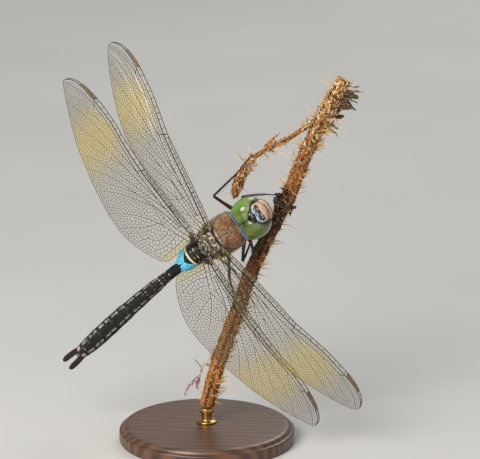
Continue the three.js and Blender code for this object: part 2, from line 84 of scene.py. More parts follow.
def body(p):
    """thorax frame -> design frame"""
    return np.asarray(p, float) @ BODY.T


def unbody(p):
    return np.asarray(p, float) @ BODY


def head(p):
    """head frame -> design frame"""
    return body(np.asarray(p, float) @ HEAD.T + HEAD_AT)


# ------------------------------------------------------------------ numbers

def profile(rows):
    """smooth monotone curve through a short table"""
    t = np.array(rows, float)
    x, y = t[:, 0], t[:, 1]
    d = np.diff(y) / np.diff(x)
    m = np.empty(len(x))
    m[0], m[-1] = d[0], d[-1]
    for i in range(1, len(x) - 1):
        m[i] = 0 if d[i - 1] * d[i] <= 0 else 2 * d[i - 1] * d[i] / (d[i - 1] + d[i])

    def f(q):
        q = np.clip(np.asarray(q, float), x[0], x[-1])
        i = np.clip(np.searchsorted(x, q, side="right") - 1, 0, len(x) - 2)
        h = x[i + 1] - x[i]
        u = (q - x[i]) / h
        return ((2 * u**3 - 3 * u**2 + 1) * y[i] + (u**3 - 2 * u**2 + u) * h * m[i]
                + (-2 * u**3 + 3 * u**2) * y[i + 1] + (u**3 - u**2) * h * m[i + 1])
    return f


def step(a, b, x):
    u = np.clip((np.asarray(x, float) - a) / (b - a), 0, 1)
    return u * u * (3 - 2 * u)


def hump(x, c, w):
    return np.exp(-((x - c) / w) ** 2)


_table = np.random.default_rng(3).random(4096)


def noise(p, scale=1.0, seed=0):
    """smooth value noise from -1 to 1 at points p"""
    q = np.asarray(p, float).reshape(-1, 3) * scale + seed * 17.31
    i = np.floor(q).astype(np.int64)
    f = q - i
    f = f * f * (3 - 2 * f)
    out = np.zeros(len(q))
    for dx in (0, 1):
        for dy in (0, 1):
            for dz in (0, 1):
                h = ((i[:, 0] + dx) * 73856093) ^ ((i[:, 1] + dy) * 19349663) ^ ((i[:, 2] + dz) * 83492791)
                w = (f[:, 0] if dx else 1 - f[:, 0]) * (f[:, 1] if dy else 1 - f[:, 1]) * (f[:, 2] if dz else 1 - f[:, 2])
                out += w * _table[(h ^ (h >> 13)) & 4095]
    return out * 2 - 1


def unit(v):
    v = np.asarray(v, float)
    return v / np.maximum(np.linalg.norm(v, axis=-1, keepdims=True), 1e-12)


def curve(points, per=12, closed=False):
    """centripetal Catmull-Rom through points, evenly resampled"""
    P = np.asarray(points, float)
    P = np.vstack([2 * P[0] - P[1], P, 2 * P[-1] - P[-2]])
    out = []
    for k in range(1, len(P) - 2):
        p0, p1, p2, p3 = P[k - 1:k + 3]
        t0 = 0.0
        t1 = t0 + max(np.linalg.norm(p1 - p0), 1e-9) ** 0.5
        t2 = t1 + max(np.linalg.norm(p2 - p1), 1e-9) ** 0.5
        t3 = t2 + max(np.linalg.norm(p3 - p2), 1e-9) ** 0.5
        for t in np.linspace(t1, t2, per, endpoint=False):
            a1 = (t1 - t) / (t1 - t0) * p0 + (t - t0) / (t1 - t0) * p1
            a2 = (t2 - t) / (t2 - t1) * p1 + (t - t1) / (t2 - t1) * p2
            a3 = (t3 - t) / (t3 - t2) * p2 + (t - t2) / (t3 - t2) * p3
            b1 = (t2 - t) / (t2 - t0) * a1 + (t - t0) / (t2 - t0) * a2
            b2 = (t3 - t) / (t3 - t1) * a2 + (t - t1) / (t3 - t1) * a3
            out.append((t2 - t) / (t2 - t1) * b1 + (t - t1) / (t2 - t1) * b2)
    out.append(P[-2])
    return np.array(out)


def resample(P, n):
    P = np.asarray(P, float)
    d = np.r_[0, np.cumsum(np.linalg.norm(np.diff(P, axis=0), axis=1))]
    q = np.linspace(0, d[-1], n)
    return np.stack([np.interp(q, d, P[:, k]) for k in range(P.shape[1])], 1)


# ------------------------------------------------------------------ meshes

class Build:
    """gathers verts, faces, per-vertex fields and face material numbers"""

    def __init__(self):
        self.v, self.f, self.m, self.a, self.uv, self.n = [], [], [], {}, [], 0

    def add(self, verts, faces, mat=0, uv=None, **fields):
        verts = np.asarray(verts, float).reshape(-1, 3)
        count = len(verts)
        faces = [np.asarray(f) for f in faces]
        c = verts - verts.mean(0)
        volume = 0.0
        for f in faces:
            for k in range(1, f.shape[1] - 1):
                volume += np.einsum("ij,ij->i", c[f[:, 0]], np.cross(c[f[:, k]], c[f[:, k + 1]])).sum()
        if volume < 0:
            faces = [f[:, ::-1] for f in faces]
        for k in set(self.a) | set(fields):
            self.a.setdefault(k, [np.zeros(self.n)] if self.n else [])
            value = fields.get(k, 0.0)
            self.a[k].append(np.broadcast_to(np.asarray(value, float), (count,)).copy())
        self.v.append(verts)
        self.uv.append(np.zeros((count, 2)) if uv is None else np.asarray(uv, float).reshape(-1, 2))
        for f in faces:
            f = np.asarray(f)
            self.f.extend((f + self.n).tolist())
            self.m.extend([mat] * len(f))
        self.n += count

    def make(self, name, mats, smooth=True, ofbake=False, replaces=(), weld=False):
        me = bpy.data.meshes.new(name)
        V = put(np.vstack(self.v))
        me.from_pydata(V.tolist(), [], self.f)
        me.polygons.foreach_set("material_index", np.array(self.m, np.int32))
        me.polygons.foreach_set("use_smooth", np.full(len(me.polygons), smooth))
        for k, parts in self.a.items():
            at = me.attributes.new(k, "FLOAT", "POINT")
            at.data.foreach_set("value", np.concatenate(parts).astype(np.float32))
        if ofbake:
            layer = me.uv_layers.new(name="OFBake")
            uv = np.vstack(self.uv)
            loop = np.empty(len(me.loops), np.int32)
            me.loops.foreach_get("vertex_index", loop)
            layer.data.foreach_set("uv", uv[loop].astype(np.float32).ravel())
        for m in mats:
            me.materials.append(m)
        me.update()
        o = bpy.data.objects.new(name, me)
        bpy.context.scene.collection.objects.link(o)
        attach(o, "root")
        if replaces:
            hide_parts(*replaces)
        return o


def grid_faces(rows, cols, wrap=True):
    """quads of a rows x cols grid of points, columns going round if wrap"""
    r = np.arange(rows - 1)[:, None] * cols
    c = np.arange(cols if wrap else cols - 1)[None, :]
    n = (c + 1) % cols if wrap else c + 1
    return np.stack([r + c, r + n, r + cols + n, r + cols + c], -1).reshape(-1, 4)


def loft_into(b, P, mat=0, cap=True, flip=False, **fields):
    """P is rows x cols x 3 of rings; closes both ends with a middle point"""
    rows, cols = P.shape[:2]
    V = P.reshape(-1, 3)
    q = grid_faces(rows, cols)
    faces = [q[:, ::-1] if flip else q]
    flat = {k: np.asarray(v).reshape(-1) if np.ndim(v) else v for k, v in fields.items()}
    if cap:
        V = np.vstack([V, P[0].mean(0), P[-1].mean(0)])
        k = rows * cols
        i = np.arange(cols)
        n = (i + 1) % cols
        a = np.stack([n, i, np.full(cols, k)], 1)
        z = np.stack([i + k - cols, n + k - cols, np.full(cols, k + 1)], 1)
        faces += [a[:, ::-1], z[:, ::-1]] if flip else [a, z]
        for kk, v in flat.items():
            if np.ndim(v):
                flat[kk] = np.r_[v, v[:cols].mean(), v[-cols:].mean()]
    b.add(V, faces, mat, **flat)


def frames(path, up=(0, 0, 1)):
    """tangent, side and up along a path, carried along without twist"""
    path = np.asarray(path, float)
    t = unit(np.gradient(path, axis=0))
    up = np.asarray(up, float)
    n = np.empty_like(path)
    u = up - t[0] * (up @ t[0])
    if np.linalg.norm(u) < 1e-4:
        u = np.cross(t[0], [1, 0.3, 0.2])
    n[0] = unit(u)
    for i in range(1, len(path)):
        v = n[i - 1] - t[i] * (n[i - 1] @ t[i])
        n[i] = unit(v)
    return t, np.cross(t, n), n


def tube_into(b, path, radius, sides=10, mat=0, up=(0, 0, 1), flat=1.0, **fields):
    path = np.asarray(path, float)
    r = np.broadcast_to(np.asarray(radius, float), (len(path),))
    t, side, n = frames(path, up)
    a = np.linspace(0, 2 * np.pi, sides, endpoint=False)
    P = (path[:, None] + r[:, None, None] * (np.cos(a)[None, :, None] * side[:, None] + flat * np.sin(a)[None, :, None] * n[:, None]))
    grown = {k: (np.repeat(np.asarray(v)[:, None], sides, 1) if np.ndim(v) else v) for k, v in fields.items()}
    loft_into(b, P, mat, True, False, **grown)


def spikes_into(b, root, tip, radius, mat=0, sides=4, bend=None, uv=None, **fields):
    """many thin closed spikes at once: root, tip (N,3), radius (N,)"""
    root, tip = np.asarray(root, float), np.asarray(tip, float)
    N = len(root)
    if not N:
        return
    radius = np.broadcast_to(np.asarray(radius, float), (N,))
    d = unit(tip - root)
    ref = np.where(np.abs(d[:, :1]) < 0.8, [[1.0, 0, 0]], [[0, 1.0, 0]])
    s = unit(np.cross(d, ref))
    n = np.cross(d, s)
    a = np.linspace(0, 2 * np.pi, sides, endpoint=False)
    ring = np.cos(a)[None, :, None] * s[:, None] + np.sin(a)[None, :, None] * n[:, None]
    mid = (root + tip) / 2 if bend is None else (root + tip) / 2 + np.asarray(bend, float)
    r0 = root[:, None] + radius[:, None, None] * ring
    r1 = mid[:, None] + 0.66 * radius[:, None, None] * ring
    V = np.concatenate([r0, r1, tip[:, None]], 1)
    per = 2 * sides + 1
    i = np.arange(sides)
    j = (i + 1) % sides
    quads = np.stack([i, j, sides + j, sides + i], 1)
    tris = np.stack([sides + i, sides + j, np.full(sides, 2 * sides)], 1)
    base = np.stack([np.zeros(sides - 2, int), i[2:], i[1:-1]], 1)
    off = (np.arange(N) * per)[:, None, None]
    F = [(q[None] + off).reshape(-1, q.shape[1]) for q in (quads, tris, base)]
    full = {k: np.repeat(np.broadcast_to(np.asarray(v, float), (N,)), per) for k, v in fields.items()}
    tuft = None
    if uv is not None:
        k = np.linspace(0, 2 * np.pi, per, endpoint=False)
        patch = 0.0015 * np.stack([np.cos(k), np.sin(k)], 1)
        tuft = (np.asarray(uv)[:, None] + patch[None]).reshape(-1, 2)
    b.add(V.reshape(-1, 3), F, mat, uv=tuft, **full)


def normals_of(P):
    """outward normals of a rows x cols ring grid"""
    du = np.gradient(P, axis=0)
    dv = (np.roll(P, -1, 1) - np.roll(P, 1, 1)) / 2
    n = unit(np.cross(dv, du))
    c = P.mean(1, keepdims=True)
    if np.mean(np.sum(n * (P - c), -1)) < 0:
        n = -n
    return n


# ------------------------------------------------------------------ materials

class Mat:
    """a small helper for node materials"""

    def __init__(self, name):
        self.m = bpy.data.materials.new(name)
        self.m.use_nodes = True
        self.nt = self.m.node_tree
        self.p = next(n for n in self.nt.nodes if n.type == "BSDF_PRINCIPLED")
        self.bumps = None

    def node(self, kind, **inputs):
        n = self.nt.nodes.new(kind)
        for k, v in inputs.items():
            self.set(n.inputs[k.replace("_", " ")], v)
        return n

    def set(self, socket, value):
        if isinstance(value, bpy.types.NodeSocket):
            self.nt.links.new(value, socket)
        else:
            if hasattr(socket.default_value, "__len__") and len(socket.default_value) == 4 and len(value) == 3:
                value = (*value, 1.0)
            socket.default_value = value

    def field(self, name):
        n = self.nt.nodes.new("ShaderNodeAttribute")
        n.attribute_name = name
        return n.outputs["Fac"]

    def where(self):
        return self.nt.nodes.new("ShaderNodeTexCoord").outputs["Object"]

    def math(self, op, a, b=0.0, clamp=False):
        n = self.nt.nodes.new("ShaderNodeMath")
        n.operation = op
        n.use_clamp = clamp
        self.set(n.inputs[0], a)
        self.set(n.inputs[1], b)
        return n.outputs[0]

    def ramp(self, x, lo, hi, smooth=True):
        n = self.nt.nodes.new("ShaderNodeMapRange")
        n.interpolation_type = "SMOOTHSTEP" if smooth else "LINEAR"
        self.set(n.inputs[0], x)
        n.inputs[1].default_value = lo
        n.inputs[2].default_value = hi
        return n.outputs[0]

    def noise(self, scale, detail=3, rough=0.6, warp=0.0, vector=None, stretch=None):
        """scale in features per mm"""
        v = vector or self.where()
        if stretch:
            mp = self.nt.nodes.new("ShaderNodeMapping")
            self.nt.links.new(v, mp.inputs[0])
            mp.inputs["Scale"].default_value = stretch
            v = mp.outputs[0]
        n = self.nt.nodes.new("ShaderNodeTexNoise")
        self.nt.links.new(v, n.inputs["Vector"])
        n.inputs["Scale"].default_value = scale * 1000
        n.inputs["Detail"].default_value = detail
        n.inputs["Roughness"].default_value = rough
        n.inputs["Distortion"].default_value = warp
        return n.outputs["Fac"]

    def cells(self, scale, feature="F1", vector=None):
        n = self.nt.nodes.new("ShaderNodeTexVoronoi")
        n.feature = feature
        self.nt.links.new(vector or self.where(), n.inputs["Vector"])
        n.inputs["Scale"].default_value = scale * 1000
        return n.outputs["Distance"]

    def mix(self, fac, a, b):
        n = self.nt.nodes.new("ShaderNodeMix")
        n.data_type = "RGBA"
        self.set(n.inputs[0], fac)
        self.set(n.inputs[6], a)
        self.set(n.inputs[7], b)
        return n.outputs[2]

    def mark(self, base, name, colour, soft=0.12, wobble=0.0, scale=3.0, strength=1.0):
        """paints colour where the signed distance field is above 0"""
        d = self.field(name)
        if wobble:
            nz = self.math("SUBTRACT", self.noise(scale, 2), 0.5)
            d = self.math("ADD", d, self.math("MULTIPLY", nz, wobble))
        f = self.ramp(d, -soft / 2, soft / 2)
        if strength < 1:
            f = self.math("MULTIPLY", f, strength)
        return self.mix(f, base, colour)

    def bump(self, height, distance, strength=1.0):
        """distance in mm"""
        n = self.nt.nodes.new("ShaderNodeBump")
        n.inputs["Strength"].default_value = strength
        n.inputs["Distance"].default_value = distance * 1e-3
        self.nt.links.new(height, n.inputs["Height"])
        if self.bumps:
            self.nt.links.new(self.bumps, n.inputs["Normal"])
        self.bumps = n.outputs["Normal"]
        self.nt.links.new(self.bumps, self.p.inputs["Normal"])

    def finish(self, colour, rough, **plain):
        self.set(self.p.inputs["Base Color"], colour)
        self.set(self.p.inputs["Roughness"], rough)
        for k, v in plain.items():
            self.set(self.p.inputs[k.replace("_", " ")], v)
        return self.m


def srgb(r, g, b):
    f = lambda c: c / 12.92 if c <= 0.04045 else ((c + 0.055) / 1.055) ** 2.4
    return tuple(f(c / 255) for c in (r, g, b))


def cuticle_material():
    k = Mat("body_cuticle")
    n1 = k.noise(0.55, 4, 0.6)
    n2 = k.noise(1.9, 4, 0.7)
    base = k.mix(k.ramp(n1, 0.32, 0.68), srgb(96, 66, 46), srgb(154, 120, 86))
    base = k.mix(k.math("MULTIPLY", k.ramp(k.noise(0.9, 4, 0.65), 0.54, 0.70), 0.7), base, srgb(138, 78, 46))
    base = k.mix(k.math("MULTIPLY", k.ramp(n2, 0.54, 0.62), 0.75), base, srgb(72, 46, 36))
    base = k.mix(k.math("MULTIPLY", k.ramp(k.noise(2.7, 3, 0.6), 0.60, 0.66), 0.6), base, srgb(208, 178, 146))
    base = k.mix(k.math("MULTIPLY", k.ramp(k.noise(1.5, 4, 0.7), 0.53, 0.61), 0.8), base, srgb(70, 44, 38))
    base = k.mix(k.math("MULTIPLY", k.ramp(k.noise(2.3, 2, 0.6, 0.4), 0.65, 0.70), 0.8), base, srgb(232, 210, 194))
    tan = k.mix(k.ramp(n2, 0.35, 0.65), srgb(112, 88, 70), srgb(156, 132, 104))
    base = k.mix(k.math("MULTIPLY", k.ramp(k.field("tan"), -0.12, 0.12), 0.85), base, tan)
    # notum between the wings, greyer
    base = k.mark(base, "rust", k.mix(k.ramp(k.noise(1.4, 3), 0.35, 0.65), srgb(118, 64, 52), srgb(180, 98, 56)), 0.7, 1.9, 1.5, 0.45)
    grey = k.mix(k.ramp(k.noise(1.4, 4), 0.35, 0.65), srgb(74, 65, 52), srgb(125, 112, 90))
    grey = k.mix(k.math("MULTIPLY", k.ramp(k.noise(2.6, 4, 0.7, 0.6), 0.55, 0.62), 0.85), grey, srgb(40, 32, 28))
    grey = k.mix(k.math("MULTIPLY", k.ramp(k.noise(3.1, 3, 0.7, 0.8), 0.62, 0.68), 0.7), grey, srgb(196, 184, 158))
    base = k.mix(k.ramp(k.field("grey"), -0.3, 0.4), base, grey)
    dusk = k.mix(k.ramp(k.noise(1.9, 4, 0.65), 0.38, 0.66), srgb(40, 31, 32), srgb(104, 88, 86))
    base = k.mix(k.ramp(k.field("dusk"), -0.35, 0.35), base, dusk)
    # olive sides and underside; on the left flank it reaches higher, as painted light on the side facing the key light
    base = k.mix(k.math("MULTIPLY", k.ramp(k.field("under"), -0.6, 0.9), 0.8), base, k.mix(k.ramp(n1, 0.35, 0.65), srgb(128, 108, 76), srgb(172, 152, 112)))
    # abdomen ground colour
    dark = k.mix(k.ramp(k.noise(2.4, 4), 0.35, 0.7), srgb(9, 10, 8), srgb(30, 27, 23))
    dark = k.mix(k.math("MULTIPLY", k.ramp(k.noise(1.1, 4, 0.7), 0.58, 0.70), 0.45), dark, srgb(74, 68, 58))
    base = k.mix(k.ramp(k.field("abdomen"), -0.1, 0.1), base, dark)
    base = k.mix(k.ramp(k.field("clasp"), 0.4, 0.6), base, k.mix(k.ramp(k.noise(1.6, 3), 0.35, 0.7), srgb(14, 10, 12), srgb(44, 34, 40)))
    base = k.mix(k.math("MULTIPLY", k.ramp(k.field("clasp"), 1.25, 1.8), 0.85), base, srgb(156, 124, 90))
    belly = k.mix(k.ramp(k.noise(2.0, 3), 0.3, 0.7), srgb(66, 54, 42), srgb(98, 84, 64))
    base = k.mix(k.math("MULTIPLY", k.ramp(k.field("belly"), -0.25, 0.35), 0.8), base, belly)
    pale = k.mix(k.ramp(k.noise(1.6, 3), 0.35, 0.7), srgb(100, 100, 94), srgb(190, 186, 176))
    base = k.mark(base, "pale", pale, 0.26, 1.05, 2.6, 0.80)
    base = k.mark(base, "fawn", k.mix(k.ramp(k.noise(2.4, 3), 0.35, 0.65), srgb(150, 106, 96), srgb(214, 184, 172)), 0.22, 0.4, 2.6, 0.9)
    blue = k.mix(k.ramp(k.noise(1.1, 3), 0.3, 0.7), srgb(56, 176, 216), srgb(120, 216, 242))
    base = k.mark(base, "blue", blue, 0.2, 0.4, 2.4)
    base = k.mark(base, "ring", srgb(208, 214, 168), 0.10, 0.2, 3.0)
    base = k.mark(base, "black", srgb(14, 13, 13), 0.12, 0.34, 3.2)
    base = k.mark(base, "suture", srgb(34, 24, 20), 0.2, 0.15, 4.0, 0.9)
    base = k.mark(base, "cream", k.mix(k.ramp(k.noise(2.2, 2), 0.35, 0.65), srgb(168, 152, 118), srgb(222, 214, 190)), 0.14, 0.36, 2.8, 0.86)
    k.bump(k.noise(9.0, 4, 0.7), 0.05, 0.7)
    k.bump(k.cells(11.0), 0.03, 0.5)
    rough = k.math("ADD", k.math("MULTIPLY", k.noise(4.0, 3), 0.3), 0.30)
    return k.finish(base, rough, Specular_IOR_Level=0.28, Coat_Weight=0.05, Coat_Roughness=0.25)


def leg_material():
    k = Mat("leg_cuticle")
    dark = k.mix(k.ramp(k.noise(2.5, 3), 0.3, 0.7), srgb(20, 16, 15), srgb(44, 34, 30))
    red = k.mix(k.ramp(k.noise(1.8, 3), 0.3, 0.7), srgb(50, 28, 20), srgb(88, 48, 30))
    base = k.mix(k.ramp(k.field("thigh"), 0.25, 0.75), dark, red)
    k.bump(k.noise(9.0, 3), 0.04, 0.6)
    return k.finish(base, k.math("ADD", k.math("MULTIPLY", k.noise(5.0, 2), 0.2), 0.32), Specular_IOR_Level=0.35, Coat_Weight=0.1, Coat_Roughness=0.25)


def eye_material():
    k = Mat("compound_eye")
    base = k.mix(k.ramp(k.noise(0.42, 3, 0.5), 0.36, 0.64), srgb(64, 84, 10), srgb(96, 120, 36))
    base = k.mix(k.math("MULTIPLY", k.ramp(k.noise(0.3, 2, 0.5), 0.48, 0.64), 0.75), base, srgb(108, 112, 18))
    # paler green on the outer flank, partly painted light: the left eye, on the key light's side, gets more of it;
    # round the face a painted sky reflection and painted shade
    base = k.mix(k.math("MULTIPLY", k.ramp(k.field("flank"), 0.0, 1.8), 0.6), base, srgb(110, 156, 76))
    base = k.mix(k.math("MULTIPLY", k.ramp(k.field("low"), -0.6, 1.4), 0.85), base, srgb(66, 66, 18))
    # painted reflection of the sky: pale grey-green on the eye beside the face
    painted_sky_reflection = k.math("MULTIPLY", k.ramp(k.field("near_face"), -1.7, -0.7), k.math("ADD", k.math("MULTIPLY", k.ramp(k.noise(0.8, 3), 0.35, 0.65), 0.55), 0.45))
    base = k.mix(k.math("MULTIPLY", painted_sky_reflection, 0.85), base, srgb(132, 146, 106))
    # painted shade: the eye darkens where it dips toward the face
    base = k.mix(k.math("MULTIPLY", k.ramp(k.field("near_face"), -0.6, -0.25), 0.75), base, srgb(46, 54, 34))
    base = k.mix(k.field("shadow"), base, srgb(36, 42, 8))
    # sea-blue rim behind, edged pale
    rim = k.math("ADD", k.field("rim"), k.math("MULTIPLY", k.math("SUBTRACT", k.noise(0.7, 2), 0.5), 0.5))
    base = k.mix(k.math("MULTIPLY", k.ramp(rim, -1.2, 0.0), 0.6), base, srgb(46, 116, 92))
    base = k.mix(k.ramp(rim, -0.30, 0.15), base, srgb(30, 84, 142))
    base = k.mix(k.ramp(rim, 0.40, 0.50), base, srgb(206, 206, 188))
    base = k.mix(k.ramp(rim, 0.58, 0.68), base, srgb(20, 20, 20))
    # painted shade: near black in the groove against the face
    base = k.mix(k.ramp(k.field("near_face"), -0.24, -0.12), base, srgb(12, 12, 10))
    base = k.mix(k.math("MULTIPLY", k.ramp(k.field("seam"), -0.05, 0.03), 0.6), base, srgb(30, 36, 16))
    k.bump(k.cells(17.0), 0.012, 0.5)
    return k.finish(base, k.math("ADD", k.math("MULTIPLY", k.noise(1.2, 2), 0.16), 0.2),
                    IOR=1.4, Specular_IOR_Level=0.2, Coat_Weight=0.9, Coat_Roughness=0.12)


def face_material():
    k = Mat("face_plates")
    n = k.noise(2.2, 4)
    base = k.mix(k.ramp(n, 0.3, 0.7), srgb(192, 152, 130), srgb(224, 190, 168))
    base = k.mix(k.math("MULTIPLY", k.ramp(k.noise(4.5, 3), 0.58, 0.72), 0.45), base, srgb(182, 118, 98))
    base = k.mix(k.ramp(k.field("peach"), -0.2, 0.2), base, k.mix(k.ramp(n, 0.35, 0.65), srgb(206, 166, 144), srgb(236, 202, 178)))
    base = k.mix(k.ramp(k.field("orange"), -0.2, 0.3), base, k.mix(k.ramp(n, 0.35, 0.65), srgb(92, 54, 34), srgb(136, 86, 52)))
    base = k.mark(base, "brown", srgb(96, 66, 44), 0.25, 0.3, 3.0, 0.85)
    base = k.mark(base, "white", k.mix(k.ramp(k.noise(1.7, 2), 0.35, 0.65), srgb(186, 194, 208), srgb(226, 230, 232)), 0.12, 0.22, 4.0)
    base = k.mark(base, "sky", k.mix(k.ramp(k.noise(1.9, 2), 0.35, 0.65), srgb(52, 84, 136), srgb(84, 126, 184)), 0.14, 0.3, 3.2)
    base = k.mark(base, "black", srgb(13, 11, 11), 0.12, 0.36, 3.4)
    # painted glints: small white flecks on the black parts of the face
    base = k.mark(base, "speck", srgb(222, 220, 214), 0.06, 0.25, 5.0)
    k.bump(k.noise(12.0, 3), 0.03, 0.6)
    k.bump(k.cells(9.0), 0.02, 0.35)
    return k.finish(base, k.math("ADD", k.math("MULTIPLY", n, 0.2), 0.28), Coat_Weight=0.2, Coat_Roughness=0.2)


def dark_material(name, a, b, rough=0.35, coat=0.2):
    k = Mat(name)
    base = k.mix(k.ramp(k.noise(2.6, 4), 0.3, 0.7), a, b)
    k.bump(k.noise(9.0, 4), 0.04, 0.6)
    return k.finish(base, k.math("ADD", k.math("MULTIPLY", k.noise(4.0, 2), 0.2), rough - 0.1), Coat_Weight=coat, Coat_Roughness=0.2)


def membrane_material():
    k = Mat("wing_membrane")
    base = k.mix(k.ramp(k.noise(0.12, 3), 0.35, 0.7), srgb(126, 114, 76), srgb(158, 148, 108))
    amber = k.ramp(k.field("amber"), 0.0, 1.0)
    base = k.mix(k.math("MULTIPLY", amber, 0.95), base, srgb(198, 172, 34))
    k.bump(k.noise(1.1, 2, stretch=(1, 1, 1)), 0.02, 0.4)
    clear = k.math("ADD", k.math("MULTIPLY", amber, 0.20), 0.075)
    return k.finish(base, k.math("ADD", k.math("MULTIPLY", k.noise(0.4, 2), 0.1), 0.14), Alpha=clear, IOR=1.56, Specular_IOR_Level=0.7)


def vein_material():
    k = Mat("wing_veins")
    dark = k.mix(k.ramp(k.noise(1.5, 3), 0.3, 0.7), srgb(12, 9, 8), srgb(36, 25, 16))
    # pale cream of the costa, and painted highlights on the wing-root plates
    base = k.mix(k.field("costal"), dark, srgb(214, 200, 156))
    base = k.mix(k.math("MULTIPLY", k.ramp(k.field("wingroot"), 0.0, 1.0), 0.6), base, srgb(44, 32, 24))
    k.bump(k.noise(7.0, 2), 0.01, 0.4)
    return k.finish(base, k.math("ADD", k.math("MULTIPLY", k.noise(2.0, 2), 0.2), 0.34), Specular_IOR_Level=0.35)


def stigma_material():
    k = Mat("pterostigma")
    base = k.mix(k.ramp(k.noise(1.2, 3), 0.3, 0.7), srgb(80, 60, 38), srgb(112, 90, 62))
    k.bump(k.noise(8.0, 2), 0.02, 0.4)
    return k.finish(base, k.math("ADD", k.math("MULTIPLY", k.noise(3.0, 2), 0.1), 0.3))


def flap_material():
    k = Mat("membranule")
    base = k.mix(k.ramp(k.noise(1.4, 3), 0.3, 0.7), srgb(120, 112, 92), srgb(168, 162, 140))
    k.bump(k.noise(7.0, 3), 0.02, 0.5)
    return k.finish(base, k.math("ADD", k.math("MULTIPLY", k.noise(3.0, 2), 0.15), 0.4))


def hair_material(name, a, b):
    k = Mat(name)
    base = k.mix(k.ramp(k.math("ADD", k.math("MULTIPLY", k.field("shade"), 0.8), k.math("MULTIPLY", k.noise(1.5, 2), 0.3)), 0.1, 1.0), a, b)
    return k.finish(base, k.math("ADD", k.math("MULTIPLY", k.field("shade"), 0.1), 0.45))


def stem_material():
    k = Mat("dry_stem")
    w = k.where()
    fibre = k.noise(1.0, 5, 0.7, vector=None, stretch=(3.2, 3.2, 0.35))
    fine = k.noise(3.4, 4, 0.7, stretch=(3.0, 3.0, 0.3))
    fleck = k.noise(1.6, 3, 0.7, stretch=(1.0, 1.0, 0.6))
    base = k.mix(k.ramp(fibre, 0.40, 0.60), srgb(72, 32, 9), srgb(178, 96, 26))
    base = k.mix(k.math("MULTIPLY", k.field("sunned"), 0.55), base, srgb(186, 112, 46))
    worn = lambda a, b: k.math("ADD", k.math("MULTIPLY", k.field("weather"), b), a)
    base = k.mix(k.math("MULTIPLY", k.ramp(fine, 0.50, 0.60), worn(0.40, 0.25)), base, srgb(216, 146, 62))
    base = k.mix(k.math("MULTIPLY", k.ramp(k.noise(0.16, 4, 0.65), 0.52, 0.66), 0.6), base, srgb(74, 38, 18))
    base = k.mix(k.math("MULTIPLY", k.ramp(k.math("ADD", k.noise(0.8, 4, 0.7), worn(-0.03, 0.045)), 0.55, 0.60), worn(0.06, 0.7)), base, srgb(230, 188, 118))
    base = k.mix(k.math("MULTIPLY", k.ramp(k.field("groove"), 0.0, 0.9), 0.9), base, srgb(48, 20, 8))
    pits = k.noise(1.5, 3, 0.7, stretch=(1.2, 1.2, 0.5))
    base = k.mix(k.math("MULTIPLY", k.ramp(pits, 0.55, 0.62), 0.8), base, srgb(60, 27, 10))
    base = k.mix(k.math("MULTIPLY", k.ramp(k.math("ADD", fleck, worn(-0.02, 0.04)), 0.57, 0.605), worn(0.25, 0.68)), base, srgb(248, 230, 188))
    # dark dirt mottling, plus painted shadow where the insect hangs over the stem
    base = k.mix(k.math("MULTIPLY", k.field("soil"), 0.75), base, srgb(42, 24, 12))
    base = k.mix(k.ramp(k.field("pith"), 0.2, 0.8), base, srgb(206, 176, 128))
    k.bump(fibre, 0.16, 0.8)
    k.bump(fine, 0.07, 0.8)
    return k.finish(base, k.math("ADD", k.math("MULTIPLY", fine, 0.2), 0.62), Specular_IOR_Level=0.3)


def straw_material():
    k = Mat("dry_spines")
    base = k.mix(k.field("bleach"), srgb(196, 142, 80), srgb(236, 208, 150))
    base = k.mix(k.math("MULTIPLY", k.ramp(k.noise(1.8, 3), 0.55, 0.7), 0.4), base, srgb(160, 104, 54))
    k.bump(k.noise(4.0, 3, stretch=(2, 2, 0.5)), 0.05, 0.6)
    return k.finish(base, k.math("ADD", k.math("MULTIPLY", k.noise(3.0, 2), 0.1), 0.5), Specular_IOR_Level=0.35)


def leaf_material():
    k = Mat("dry_leaves")
    n = k.noise(1.3, 4, 0.65)
    pale = k.mix(k.ramp(n, 0.35, 0.65), srgb(176, 138, 88), srgb(232, 210, 164))
    dark = k.mix(k.ramp(n, 0.40, 0.68), srgb(24, 16, 12), srgb(88, 62, 38))
    base = k.mix(k.ramp(k.field("dead"), 0.0, 1.0, False), pale, dark)
    base = k.mix(k.ramp(k.field("dead"), 1.2, 1.8), base, k.mix(k.ramp(n, 0.45, 0.7), srgb(14, 12, 12), srgb(58, 46, 40)))
    base = k.mix(k.math("MULTIPLY", k.ramp(k.noise(3.4, 3), 0.60, 0.68), 0.7), base, srgb(222, 204, 164))
    tawny = k.mix(k.ramp(n, 0.38, 0.62), srgb(96, 50, 20), srgb(206, 132, 62))
    base = k.mix(k.ramp(k.math("MULTIPLY", k.field("plum"), -1.0), 0.0, 1.0, False), base, tawny)
    base = k.mix(k.math("MULTIPLY", k.field("plum"), 0.8), base, k.mix(k.ramp(k.noise(2.2, 2), 0.35, 0.65), srgb(104, 66, 84), srgb(206, 176, 190)))
    k.bump(k.noise(3.0, 4, 0.7), 0.1, 0.7)
    return k.finish(base, k.math("ADD", k.math("MULTIPLY", n, 0.15), 0.6), Specular_IOR_Level=0.3)


